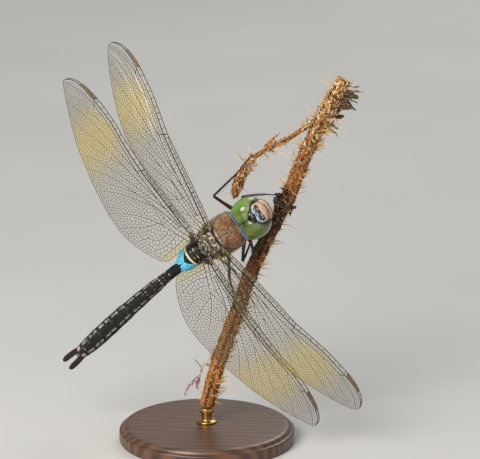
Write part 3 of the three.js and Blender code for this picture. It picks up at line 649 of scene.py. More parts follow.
def wood_material():
    k = Mat("stand_wood")
    c = k.nt.nodes.new("ShaderNodeTexWave")
    mp = k.nt.nodes.new("ShaderNodeMapping")
    k.nt.links.new(k.where(), mp.inputs[0])
    mp.inputs["Location"].default_value = (0.004, 0.035, 0.0)
    mp.inputs["Rotation"].default_value = (0.0, 0.0, 0.35)
    mp.inputs["Scale"].default_value = (0.28, 1.0, 1.0)
    k.nt.links.new(mp.outputs[0], c.inputs["Vector"])
    c.wave_type = "BANDS"
    c.bands_direction = "Y"
    c.inputs["Scale"].default_value = 140.0
    c.inputs["Distortion"].default_value = 5.0
    c.inputs["Detail"].default_value = 3.0
    c.inputs["Detail Scale"].default_value = 1.3
    pores = k.noise(1.2, 4, 0.7, stretch=(0.16, 2.4, 1.0))
    base = k.mix(c.outputs["Fac"], srgb(66, 44, 32), srgb(104, 72, 50))
    base = k.mix(k.math("MULTIPLY", k.ramp(pores, 0.55, 0.72), 0.65), base, srgb(40, 27, 20))
    k.bump(pores, 0.03, 0.5)
    return k.finish(base, k.math("ADD", k.math("MULTIPLY", pores, 0.15), 0.34), Coat_Weight=0.25, Coat_Roughness=0.3)


def brass_material():
    k = Mat("stand_brass")
    f = k.noise(1.6, 4, 0.6, stretch=(0.35, 0.35, 4.0))
    base = k.mix(k.ramp(f, 0.3, 0.7), srgb(176, 136, 72), srgb(206, 170, 104))
    k.bump(f, 0.01, 0.5)
    return k.finish(base, k.math("ADD", k.math("MULTIPLY", f, 0.14), 0.24), Metallic=1.0)


# ------------------------------------------------------------------ camera, light, floor

scene = bpy.context.scene
CAMERA_AT = np.array([7.442, -675.215, 184.655])
LOOK_DOWN = 15.0
cam_data = bpy.data.cameras.new("camera")
cam_data.sensor_width = 36
cam_data.lens = 225.75
cam_data.clip_start = 0.02
cam_data.clip_end = 30
cam = bpy.data.objects.new("camera", cam_data)
scene.collection.objects.link(cam)
cam.location = Vector(put(CAMERA_AT))
cam.rotation_euler = (math.radians(90 - LOOK_DOWN), 0, 0)
scene.camera = cam


def area(name, at, aim, size, power, colour=(1, 1, 1)):
    d = bpy.data.lights.new(name, "AREA")
    d.shape = "DISK"
    d.size = size
    d.energy = power
    d.color = colour
    o = bpy.data.objects.new(name, d)
    scene.collection.objects.link(o)
    o.location = Vector(at)
    o.rotation_euler = (Vector(aim) - Vector(at)).to_track_quat("-Z", "Y").to_euler()
    return o


centre = put([2, 6, 0])
area("key", centre + [-0.35, -0.56, 0.42], centre, 0.48, 7.6, (1.0, 0.965, 0.91))
area("fill", centre + [0.75, -0.55, 0.30], centre, 0.70, 0.9, (0.92, 0.96, 1.0))
area("back", centre + [0.20, 0.65, 0.55], centre, 0.45, 2.0, (1.0, 0.98, 0.95))

world = bpy.data.worlds.new("studio")
world.use_nodes = True
bg = next(n for n in world.node_tree.nodes if n.type == "BACKGROUND")
bg.inputs[0].default_value = (0.93, 0.94, 0.95, 1)
bg.inputs[1].default_value = 0.30
scene.world = world
scene.view_settings.view_transform = "Standard"

fm = Mat("floor")
fm.finish(fm.mix(fm.ramp(fm.noise(0.01, 2), 0.3, 0.7), (0.59, 0.585, 0.57), (0.62, 0.615, 0.60)), 0.8, Specular_IOR_Level=0.2)
fme = bpy.data.meshes.new("floor")
fme.from_pydata([(-6, -6, 0), (6, -6, 0), (6, 6, 0), (-6, 6, 0)], [], [(0, 1, 2, 3)])
fme.materials.append(fm.m)
floor = bpy.data.objects.new("floor", fme)
scene.collection.objects.link(floor)

CUTICLE = cuticle_material()
LEG = leg_material()
EYE = eye_material()
FACE = face_material()
DARK = dark_material("dark_plates", srgb(24, 19, 17), srgb(60, 46, 38))
OCELLUS = dark_material("ocelli", srgb(150, 130, 90), srgb(180, 160, 120), 0.2, 0.6)
MEMBRANE = membrane_material()
VEIN = vein_material()
STIGMA = stigma_material()
FLAP = flap_material()
HAIR = hair_material("thorax_hair", srgb(80, 62, 46), srgb(186, 162, 128))
STEM = stem_material()
STRAW = straw_material()
DRY = leaf_material()
WOOD = wood_material()
BRASS = brass_material()

# ------------------------------------------------------------------ body skin

COAT = 0.08
TOP = profile([[-3.0, -0.9], [-1.6, 0.2], [0.4, 0.7], [2.4, 0.75], [4.2, -0.15], [6.0, -1.7], [7.4, -3.1], [7.9, -3.75],
               [8.02, -4.0], [8.3, -3.5], [8.6, -3.45], [8.9, -3.75], [9.2, -4.05], [10.6, -3.6]])
BELLY = profile([[-3.0, -6.3], [-1.5, -8.4], [1.0, -9.4], [4.0, -9.5], [6.2, -9.0], [7.4, -7.7], [7.9, -6.95],
                 [8.05, -6.85], [8.4, -7.25], [8.8, -6.95], [9.15, -6.0], [9.5, -5.55], [10.6, -5.2]])
HALF = profile([[-3.0, 2.75], [-1.5, 3.9], [1.0, 4.45], [4.0, 4.6], [6.0, 4.35], [7.4, 3.3], [7.9, 2.6],
                [8.02, 2.1], [8.25, 2.25], [8.6, 2.25], [8.9, 1.95], [9.15, 1.35], [9.4, 1.05], [10.6, 1.0]])

SEGMENTS = [2.5, 4.3, 6.3, 6.1, 5.9, 5.5, 4.9, 3.75, 2.75, 2.05]
ENDS = np.cumsum([0] + SEGMENTS)
WIDTH = profile([[0, 5.1], [1.6, 5.65], [3.9, 5.35], [5.9, 4.3], [8.1, 2.75], [10.5, 2.5], [14, 2.85], [18, 3.3], [24, 3.7],
                 [30, 4.1], [35, 4.2], [39, 4.05], [42, 3.65], [44.1, 3.05]])
A_ROOT = np.array([-3.2, 0, -3.55])
A_BASE = np.array([-4.7, 0, -3.7])
A_DIR = unit([-0.972, -0.118, -0.203])


def abdomen_axis(s):
    s = np.atleast_1d(np.asarray(s, float))
    s1 = 1.55
    bow = 0.32 * np.sin(np.pi * np.clip((s - s1 - 2) / 36, 0, 1))
    far = A_BASE + A_DIR * (s - s1)[:, None] + np.stack([0 * bow, bow, 0 * bow], 1)
    c = A_BASE + A_DIR * 2
    b = A_BASE - A_DIR * 0.2
    t = np.clip(s / (s1 + 2), 0, 1)[:, None]
    near = A_ROOT * (1 - t) ** 2 + b * 2 * t * (1 - t) + c * t * t
    return np.where((s >= s1 + 2)[:, None], far, near)


def body_skin(b):
    around = 144
    phi = np.linspace(0, 2 * np.pi, around, endpoint=False)
    cy, cz = np.cos(phi), np.sin(phi)
    sq = lambda v: np.sign(v) * np.abs(v) ** 0.94

    # thorax, prothorax and neck, from the head back
    xs = np.concatenate([np.linspace(10.5, 8.15, 34, endpoint=False), np.linspace(8.15, 7.85, 8, endpoint=False),
                         np.linspace(7.85, -2.95, 150)])
    zt, zb, w = TOP(xs), BELLY(xs), HALF(xs)
    mid = (zt + zb) / 2 - 0.15
    h = np.where(cz[None] > 0, (zt - mid)[:, None], (mid - zb)[:, None])
    T = np.stack([np.repeat(xs[:, None], around, 1), w[:, None] * sq(cy)[None], mid[:, None] + h * sq(cz)[None]], -1)

    # abdomen
    ss = []
    for k in range(10):
        a, z = ENDS[k], ENDS[k + 1]
        n = max(int((z - a) / 0.11), 12)
        u = np.linspace(0, 1, n, endpoint=False)
        ss.append(a + (z - a) * (u + 0.018 * np.sin(2 * np.pi * u) * 0))
    ss = np.concatenate(ss + [[ENDS[-1]]])
    ss = ss[ss > 0.1]
    c = abdomen_axis(ss)
    d = unit(abdomen_axis(ss + 0.05) - abdomen_axis(ss - 0.05))
    left = unit(np.array([0, 1, 0]) - d * d[:, 1:2])
    up = np.cross(left, d)
    wa = WIDTH(ss) / 2
    A = (c[:, None] + wa[:, None, None] * (sq(cy)[None, :, None] * left[:, None]
         + 0.9 * sq(cz)[None, :, None] * up[:, None]))
    P = np.vstack([T, A])
    N = normals_of(P)
    nT = len(xs)

    X, Y, Z = (T[..., i] for i in range(3))
    upper = step(0.0, 0.5, cz)[None] * np.ones_like(X)
    # notum between the wings: lobes, shields and cushions at the wing roots
    aY = np.abs(Y)
    disp = np.zeros_like(X)
    notum = step(3.5, 2.9, X) * upper
    lump = np.zeros_like(X)
    for cx, yy, rx, ry, hh in [
        (1.45, 0.90, 0.72, 0.66, 0.50), (2.05, 0.0, 0.42, 0.42, 0.25), (0.0, 0.0, 0.42, 0.66, 0.66), (0.75, 1.85, 0.42, 0.34, 0.34),
        (2.25, 2.15, 0.34, 0.48, 0.55), (0.2, 2.45, 0.42, 0.34, 0.40), (-0.55, 1.35, 0.20, 0.50, 0.30), (1.35, 2.6, 0.36, 0.34, 0.36),
        (-1.15, 0.80, 0.44, 0.52, 0.44), (-2.05, 0.0, 0.34, 0.58, 0.52), (-1.35, 2.05, 0.38, 0.38, 0.45), (-2.1, 1.5, 0.36, 0.36, 0.34),
        (-2.75, 0.75, 0.22, 0.6, 0.24),
    ]:
        for sy in ((1, -1) if yy else (1,)):
            lump += hh * hump(X, cx, rx) * hump(Y, sy * yy, ry)
    disp += notum * (lump - 0.34)
    disp -= upper * 0.34 * hump(X, 2.85, 0.24) * step(3.2, 2.6, aY)
    disp += upper * 0.26 * hump(X, 3.42, 0.14) * step(3.2, 2.4, aY)
    disp -= notum * 0.24 * hump(X, 0.62, 0.13) * step(1.5, 1.1, aY)
    disp -= notum * 0.26 * hump(X, -0.6, 0.15) * step(2.2, 1.6, aY)
    disp -= notum * 0.18 * hump(X, -1.62, 0.12) * step(1.6, 1.1, aY)
    disp -= notum * 0.20 * hump(aY, 1.5 - 0.12 * (X - 1.3), 0.11) * step(2.3, 1.9, X) * step(-2.2, -1.8, X)
    disp -= notum * 0.12 * hump(Y, 0, 0.07) * step(0.6, 0.9, X) * step(2.6, 2.2, X)
    # front plates swell either side of the mid keel
    front = step(3.1, 4.0, X) * step(7.9, 7.0, X) * upper
    keel = hump(Y, 0, 0.09)
    disp += front * (0.16 * keel - 0.10 * hump(Y, 0, 0.5))
    tri = np.minimum(np.minimum(X - 3.3, (5.05 - 0.745 * (aY - 0.35) - X) * 0.8), aY - 0.2)
    disp += 0.09 * step(0.0, 0.22, tri) * upper
    # side seams, from the hips up to the wing roots
    seam = np.full_like(X, 9.0)
    for (x0, z0), (x1, z1) in [((6.6, -8.2), (3.1, -0.6)), ((4.2, -9.3), (0.4, -0.7)), ((1.9, -9.2), (-1.9, -1.0))]:
        dx, dz = x1 - x0, z1 - z0
        L = math.hypot(dx, dz)
        t = np.clip(((X - x0) * dx + (Z - z0) * dz) / L**2, 0, 1)
        q = np.hypot(X - x0 - t * dx, Z - z0 - t * dz)
        seam = np.minimum(seam, q)
    sides = step(0.35, 0.75, np.abs(cy))[None] * np.ones_like(X)
    disp -= 0.14 * np.exp(-(seam / 0.16) ** 2) * sides
    disp += 0.05 * np.exp(-((seam - 0.35) / 0.2) ** 2) * sides
    # spiracle behind the second seam
    disp -= 0.2 * hump(X, 1.6, 0.28) * hump(Z, -6.2, 0.45) * sides
    disp += 0.035 * noise(T, 1.1, 1).reshape(X.shape) + 0.018 * noise(T, 3.2, 2).reshape(X.shape)
    thorax_only = step(8.2, 7.7, X)
    disp *= 0.25 + 0.75 * thorax_only
    disp -= COAT

    # abdomen rings, keels and the ear-like bumps of the second segment
    seg = np.clip(np.searchsorted(ENDS, ss, side="right") - 1, 0, 9)
    local = (ss - ENDS[seg]) / np.array(SEGMENTS)[seg]
    from_back = (1 - local) * np.array(SEGMENTS)[seg]
    from_front = local * np.array(SEGMENTS)[seg]
    ring = np.zeros(len(ss))
    ring -= 0.25 * np.exp(-(from_back / 0.16) ** 2) + 0.21 * np.exp(-(from_front / 0.16) ** 2)
    ring += 0.08 * np.sin(np.pi * local) * (seg >= 2) - 0.05
    ring += 0.06 * np.exp(-((from_back - 0.26) / 0.12) ** 2)
    ring += np.where(seg >= 2, 0.035, 0.02) * np.exp(-((from_front - 0.42) / 0.07) ** 2)
    ring += np.where((seg >= 2) & (seg <= 7), 0.045 * np.exp(-((local - 0.44) / 0.018) ** 2) - 0.03 * np.exp(-((local - 0.475) / 0.02) ** 2), 0)
    dA = ring[:, None] * np.ones(around)[None]
    deg = np.degrees(np.abs(np.arctan2(cy, cz)))[None]          # 0 on the back, 180 under
    back_keel = np.where(seg >= 2, 0.06, 0.02) * step(0, 0.06, local) * step(1, 0.94, local)
    dA += back_keel[:, None] * np.exp(-(deg / 3.2) ** 2)
    dA += (np.where(seg >= 3, 0.07, 0.03) * step(0, 0.1, local) * step(1, 0.9, local))[:, None] * np.exp(-((deg - 112) / 5) ** 2)
    dA -= (0.12 * step(0, 0.1, local) * step(1, 0.9, local))[:, None] * np.exp(-((deg - 150) / 12) ** 2)
    ear = np.exp(-((ss - 5.3) / 0.55) ** 2)[:, None] * np.exp(-((deg - 96) / 12) ** 2)
    dA += 0.36 * ear
    dA += 0.022 * noise(A, 1.6, 5).reshape(dA.shape) + 0.012 * noise(A, 4.5, 6).reshape(dA.shape)
    dA -= 0.05 * np.exp(-ss / 2.0)[:, None]

    P = P + N * np.vstack([disp, dA])[..., None]

    # ---------------- fields for the markings (signed distances, mm)
    far = -5.0
    zero = np.zeros(P.shape[:2])
    f = {k: zero + far for k in ("grey", "dusk", "tan", "rust", "under", "abdomen", "belly", "pale", "fawn", "blue", "ring", "black", "suture", "cream")}
    f["grey"][:nT] = np.minimum(3.0 - X, (Z - (-1.9)) * 0.8)
    f["dusk"][:nT] = np.minimum(-1.0 - 0.25 * aY - X, (Z - (-4.2)) * 0.8)
    f["dusk"][:nT] = np.maximum(f["dusk"][:nT], np.minimum((3.3 - aY) * 1.2, 0.40 - np.abs(X - 2.55 - 0.02 * aY * aY)) * 2.2 + np.where(upper > 0.5, 0, far))
    f["dusk"][nT:] = 2.6 - ss[:, None]
    # Y - 3.35 widens the olive only on the left flank: painted light on the lit side
    f["under"][:nT] = np.maximum((-4.4 - Z) * 0.6 + 0.25 * (aY - 3.0), np.maximum(aY - 3.8, Y - 3.35) * 0.9)
    up_only = np.where(upper > 0.5, 0.0, far)
    seams = np.where(sides > 0.4, 0.13 - seam, far)
    seams = np.maximum(seams, np.minimum(0.10 - aY, X - 3.3) + up_only)
    for x_, w_, y_ in ((0.62, 0.10, 1.3), (-0.6, 0.13, 2.2), (-1.62, 0.09, 1.3)):
        seams = np.maximum(seams, np.minimum(w_ - np.abs(X - x_), y_ - aY) + up_only)
    seams = np.maximum(seams, np.minimum(0.09 - np.abs(aY - (1.5 - 0.12 * (X - 1.3))), np.minimum(2.3 - X, X + 2.2)) + up_only)
    f["suture"][:nT] = np.maximum(seams, np.minimum(np.minimum(0.07 - np.abs((5.05 - 0.745 * (aY - 0.35) - X) * 0.8), aY - 0.1), 3.0 - aY) + up_only)

    def spot(cx, cy, rx, ry, tilt=0.0):
        u = (X - cx) * math.cos(tilt) + (aY - cy) * math.sin(tilt)
        v = -(X - cx) * math.sin(tilt) + (aY - cy) * math.cos(tilt)
        return (1 - np.hypot(u / rx, v / ry)) * min(rx, ry)

    cream = np.minimum(0.06 - np.abs(aY - 0.20), X - 3.6)
    for c_ in ((3.20, 1.6, 0.07, 1.25, 0.1), (1.92, 1.9, 0.15, 0.62, 0.25), (5.16, 1.62, 0.10, 0.15), (5.5, 1.05, 0.09, 0.12), (5.8, 1.4, 0.07, 0.1), (4.85, 0.62, 0.07, 0.26, 0.8), (6.3, 0.7, 0.1, 0.07), (1.55, 1.05, 0.34, 0.30, 0.5), (0.05, 0.40, 0.09, 0.42, 0.5), (0.28, 2.35, 0.10, 0.38, 1.0),
               (1.3, 2.55, 0.10, 0.36, 0.4), (-0.5, 1.4, 0.12, 0.42), (-1.3, 2.1, 0.09, 0.36, 0.5), (-2.1, 1.5, 0.08, 0.34, 0.9), (-2.72, 0.45, 0.06, 0.36), (2.3, 2.7, 0.09, 0.3, 0.7),
               (3.12, 0.8, 0.07, 0.55, 0.1), (2.05, 0.9, 0.10, 0.34, 0.8), (1.0, 0.55, 0.08, 0.22), (-0.15, 1.1, 0.08, 0.22, 0.9), (-0.9, 0.5, 0.09, 0.26, 0.4),
               (-1.75, 0.7, 0.10, 0.28, 1.1), (-2.35, 0.9, 0.09, 0.30), (0.7, 2.3, 0.08, 0.24, 0.7)):
        cream = np.maximum(cream, spot(*c_))
    f["cream"][:nT] = cream + up_only
    edge_ = (5.05 - 0.745 * (aY - 0.35) - X) * 0.8
    f["tan"][:nT] = np.minimum(np.minimum(X - 3.3, edge_), aY - 0.25) + up_only
    f["rust"][:nT] = np.maximum(spot(5.15, 3.05, 0.80, 0.70), spot(5.75, 1.45, 0.75, 0.65)) + up_only
    blackish = np.full_like(X, far)
    for c_ in ((2.5, 0.0, 0.14, 2.6), (2.75, 1.4, 0.12, 0.9, 0.1), (1.75, 0.45, 0.10, 0.34, 0.6), (0.62, 0.9, 0.14, 0.6), (-0.62, 1.0, 0.16, 0.7), (-1.62, 0.6, 0.13, 0.7),
               (-1.0, 1.5, 0.12, 0.34, 0.9), (1.2, 1.75, 0.10, 0.4, 0.8), (-2.5, 0.3, 0.12, 0.6), (0.3, 1.55, 0.10, 0.3, 1.2)):
        blackish = np.maximum(blackish, spot(*c_))
    f["black"][:nT] = blackish + up_only
    f["abdomen"][nT:] = 1
    f["abdomen"][:nT] = (-2.5 - X)
    f["belly"][nT:] = (deg - 122) / 30
    S = ss[:, None] * np.ones(around)[None]
    arc = np.radians(deg) * wa[:, None] * np.ones_like(S)        # mm from the back's midline
    half_round = np.pi * wa[:, None]
    # pale ring in front of the blue saddle
    f["ring"][nT:] = np.minimum(0.18 - np.abs(S - 2.80), half_round * 0.72 - arc)
    # blue saddle on the second segment and the sides of the third
    saddle = np.minimum(S - 2.98, 7.4 - S)
    left_side = (cy > 0)[None] * np.ones_like(S)
    edge3 = 1.02 + 0.12 * (S - 6.2) + (1 - left_side) * (0.25 + 0.22 * np.clip(S - 6.2, 0, 9))
    sides3 = np.minimum(np.minimum(S - 6.2, 10.3 - S), arc - edge3)
    f["blue"][nT:] = np.minimum(np.maximum(saddle, sides3), half_round * 0.80 - arc)
    # black: a triangle behind the ring, then a stripe that widens over the third segment
    mark = np.minimum(S - 3.02, 1.38 * (1 - arc / 2.0) - (S - 3.02)) * 0.7
    mark = np.maximum(mark, np.minimum(0.07 - np.abs(S - 3.07), 2.6 - arc))
    start = np.interp(arc, [0.0, 0.16, 0.36, 0.6, 0.95, 1.3, 3.0], [5.45, 5.8, 6.6, 6.3, 7.0, 8.0, 10.0])
    stripe = np.minimum((S - start) * 0.7, edge3 - arc)
    mark = np.maximum(mark, stripe)
    mark = np.maximum(mark, 0.09 - np.abs(S - 2.5))
    f["black"][nT:] = np.where(S < 10.4, mark, far)
    joints = np.full_like(S, 9.0)
    for e in ENDS[2:-1]:
        joints = np.minimum(joints, np.abs(S - e + 0.05))
    f["black"][nT:] = np.maximum(f["black"][nT:], np.where(S > 9.5, 0.13 - joints, far))
    # pale marks along the flanks of segments 3 to 10, broken mid-way
    Lk = np.array(SEGMENTS)[seg][:, None]
    lf, lb = from_front[:, None], from_back[:, None]
    at_ = np.array([0, 0, 1.05, 0.86, 0.76, 0.72, 0.70, 0.70, 0.72, 0.62])[seg][:, None]
    wide = np.array([0, 0, 0.08, 0.16, 0.22, 0.27, 0.32, 0.33, 0.34, 0.44])[seg][:, None]
    lane = wide * (0.9 + 0.32 * left_side) - np.abs(arc - wa[:, None] * at_)
    first = np.minimum(lf - 0.45, 0.42 * Lk - 0.1 - lf)
    second = np.minimum(lf - 0.50 * Lk - 0.1, lb - 0.55)
    whole = np.minimum(lf - 0.35, lb - 0.35)
    sg_ = seg[:, None]
    long_ = np.where(sg_ >= 8, whole, np.maximum(first, second))
    both = np.minimum(lane, long_)
    f["pale"][nT:] = np.where((sg_ >= 2) & (sg_ <= 8) & (S > 10.6), both, far)
    f["fawn"][nT:] = np.where(sg_ == 9, np.minimum(lane, np.minimum(lf - 0.65, lb - 0.02)), far)
    # thin pale ticks at the rear edge of each segment
    tick = np.minimum(0.05 - np.abs(lb - 0.20), 0.55 - np.abs(arc - wa[:, None] * 0.95))
    fleck = np.full_like(S, far)
    for s_, a_, rs, ra in ((0.88, 0.98, 0.13, 0.42), (1.75, 0.86, 0.11, 0.22), (1.5, 2.6, 0.08, 0.30), (10.34, 0.15, 0.12, 0.08), (12.33, 0.35, 0.13, 0.10), (13.56, 0.42, 0.17, 0.15),
                           (14.2, 1.72, 0.34, 0.26), (11.5, 1.2, 0.16, 0.07), (16.1, 0.5, 0.14, 0.09), (18.4, 0.42, 0.14, 0.10)):
        fleck = np.maximum(fleck, (1 - np.hypot((S - s_) / rs, (arc - a_) / ra)) * min(rs, ra))
    tick = np.where(sg_ == 8, np.maximum(tick, np.minimum(0.05 - np.abs(lb - 0.30), 0.38 - arc)), tick)
    f["cream"][nT:] = np.where((sg_ >= 2) & (sg_ <= 8), np.maximum(tick, fleck), fleck)
    f["cream"][nT:] = np.where(sg_ == 9, np.minimum(0.09 - np.abs(lb - 0.08), wa[:, None] * 1.1 - arc), f["cream"][nT:])

    f["clasp"] = zero
    loft_into(b, body(P), 0, True, True, **f)
    return P, N, xs, ss, nT, upper


skin = Build()
P_skin, N_skin, xs_skin, ss_skin, nT_skin, upper_skin = body_skin(skin)

# ------------------------------------------------------------------ legs

STEM_PATH = np.array([[-0.55, 10.7, -42.5], [2.43, 10.82, -31.67], [6.97, 10.92, -19.0], [9.69, 10.98, -10.62], [14.17, 11.03, -0.57],
                      [18.74, 11.05, 8.69], [22.45, 11.07, 18.13], [27.3, 11.06, 28.47], [31.6, 11.04, 37.0]])
TWIG_PATH = np.array([[25.9, 11.05, 27.75], [22.88, 10.95, 25.6], [20.4, 10.8, 23.95], [17.04, 10.62, 21.85], [14.0, 10.64, 20.4],
                      [10.26, 11.01, 17.9], [8.15, 11.68, 14.6], [6.74, 12.03, 10.9], [5.95, 12.26, 8.0]])
TWIG_RADIUS = profile([[0, 0.7], [0.1, 0.55], [0.3, 0.46], [0.48, 0.5], [0.6, 0.66], [0.68, 0.8], [0.78, 1.2], [0.88, 1.35], [0.95, 1.05], [1, 0.5]])
STEM_R = 1.72
stem_line = resample(curve(STEM_PATH, 40), 420)
twig_line = resample(curve(TWIG_PATH, 40), 240)

LEGS = {
    "front_left": ((7.0, 1.5, -7.4), (7.7, 8.2, 6.9), (8.15, 12.8, 8.36), (13.56, 11.19, 9.31), (16.62, 11.32, 9.03), "stem"),
    "front_right": ((7.0, -1.5, -7.4), (9.2, 5.9, 0.9), (10.71, 6.27, -3.66), (13.2, 9.1, 0.1), (14.63, 9.9, 2.2), "stem"),
    "mid_left": ((4.9, 1.9, -8.6), (6.3, 8.3, 6.1), (1.23, 5.86, 10.26), (6.67, 9.44, 14.76), (9.55, 10.64, 18.06), "twig"),
    "mid_right": ((4.9, -1.9, -8.6), (8.6, 8.4, -0.6), (8.1, 9.4, -6.6), (10.1, 12.6, -2.3), (11.8, 12.8, -0.3), "stem"),
    "hind_left": ((2.3, 1.9, -8.8), (3.6, 11.2, 1.4), (0.8, 15.4, -6.0), (6.2, 14.6, -10.6), (7.6, 13.6, -12.9), "stem"),
    "hind_right": ((2.3, -1.9, -8.8), (4.6, 9.8, -3.6), (4.9, 11.9, -11.2), (6.1, 11.0, -15.4), (6.5, 10.4, -18.0), "stem"),
}


def against(point, line, surface, clear):
    d = np.linalg.norm(line - point, axis=1)
    i = int(np.argmin(d))
    return line[i] + unit(point - line[i]) * (surface(i / (len(line) - 1)) + clear), i


def legs(b):
    for name, (coxa, troch, knee, ankle, foot, on) in LEGS.items():
        coxa, troch, knee, ankle, foot = body(coxa), *(np.array(q) for q in (troch, knee, ankle, foot))
        line = stem_line if on == "stem" else twig_line
        surface = (lambda u: STEM_R - 0.02) if on == "stem" else TWIG_RADIUS
        foot, near = against(foot, line, surface, 0.14)
        inward = unit(line[near] - foot)
        # hip: two short cones
        hip = resample(np.array([coxa, coxa * 0.55 + troch * 0.45, troch]), 16)
        u = np.linspace(0, 1, 16)
        r = 0.92 - 0.34 * u - 0.16 * hump(u, 0.58, 0.06) - 0.12 * step(0.9, 1, u)
        tube_into(b, hip, r, 18, 1, thigh=0.9 - 0.3 * u)
        # thigh
        n = 30
        u = np.linspace(0, 1, n)
        bow = np.cross(unit(knee - troch), inward) * 0.16
        path = troch + (knee - troch) * u[:, None] + bow * np.sin(np.pi * u)[:, None]
        r = 0.40 + 0.09 * hump(u, 0.22, 0.25) - 0.07 * u + 0.06 * hump(u, 0.97, 0.05)
        r = r * (0.62 + 0.38 * step(0, 0.05, u)) * (0.55 + 0.45 * step(1.0, 0.96, u))
        tube_into(b, path, r, 16, 1, thigh=0.75 * (1 - step(0.45, 0.95, u)))
        # shin
        u = np.linspace(0, 1, n)
        path2 = knee + (ankle - knee) * u[:, None] - bow * 0.8 * np.sin(np.pi * u)[:, None]
        r2 = 0.27 - 0.07 * u + 0.05 * hump(u, 0.03, 0.04) + 0.03 * hump(u, 0.97, 0.04)
        r2 = r2 * (0.5 + 0.5 * step(0, 0.04, u)) * (0.5 + 0.5 * step(1.0, 0.96, u))
        tube_into(b, path2, r2, 12, 1, thigh=0.06)
        # foot: three joints that lie on the stalk, then two claws
        over = unit(foot - ankle)
        over = unit(over - inward * (over @ inward) * 0.5)
        bend = ankle * 0.45 + foot * 0.55 - inward * 0.12
        path3 = resample(curve([ankle, bend, foot], 10), 26)
        u = np.linspace(0, 1, 26)
        r3 = 0.165 - 0.03 * u - 0.06 * (hump(u, 0.3, 0.03) + hump(u, 0.62, 0.03))
        r3 = r3 * (0.5 + 0.5 * step(0, 0.05, u))
        tube_into(b, path3, r3, 10, 1, thigh=0.0)
        side = unit(np.cross(over, inward))
        for sgn in (1, -1):
            c = curve([foot, foot + over * 0.35 + side * sgn * 0.22 - inward * 0.03, foot + over * 0.6 + side * sgn * 0.3 + inward * 0.16], 6)
            c = resample(c, 9)
            tube_into(b, c, 0.07 - 0.055 * np.linspace(0, 1, 9), 6, 1, thigh=0.0)
        # spines: long ones down the shin, short ones on the thigh
        t, s1, n1 = frames(path2, inward)
        for row, (ca, sa) in enumerate(((0.85, 0.5), (-0.85, 0.5), (0.5, -0.85), (-0.5, -0.85))):
            k = np.arange(3 + row, n - 3, 3)
            out = unit(ca * s1[k] + sa * n1[k] + 0.55 * t[k])
            root = path2[k] + out * r2[k][:, None] * 0.6
            length = (1.05 if row < 2 else 0.6) * (0.7 + 0.5 * np.sin(np.pi * k / n)) * (0.9 + 0.2 * rng.random(len(k)))
            spikes_into(b, root, root + out * length[:, None], 0.05, 1, 5, thigh=0.0)
        t, s1, n1 = frames(path, inward)
        for ca, sa in ((0.8, -0.6), (-0.8, -0.6)):
            k = np.arange(6, n - 2, 3)
            out = unit(ca * s1[k] + sa * n1[k] + 0.5 * t[k])
            root = path[k] + out * r[k][:, None] * 0.8
            spikes_into(b, root, root + out * (0.42 + 0.2 * rng.random(len(k)))[:, None], 0.045, 1, 5, thigh=0.0)


legs(skin)

# ------------------------------------------------------------------ claspers

tail = abdomen_axis(ENDS[-1])[0]
tail_left = unit(np.array([0, 1, 0]) - A_DIR * A_DIR[1])
tail_up = np.cross(tail_left, A_DIR)
LEAF = profile([[0, 0.80], [0.12, 0.91], [0.4, 0.98], [0.75, 0.95], [0.90, 0.80], [0.96, 0.58], [0.99, 0.34], [1, 0.10]])


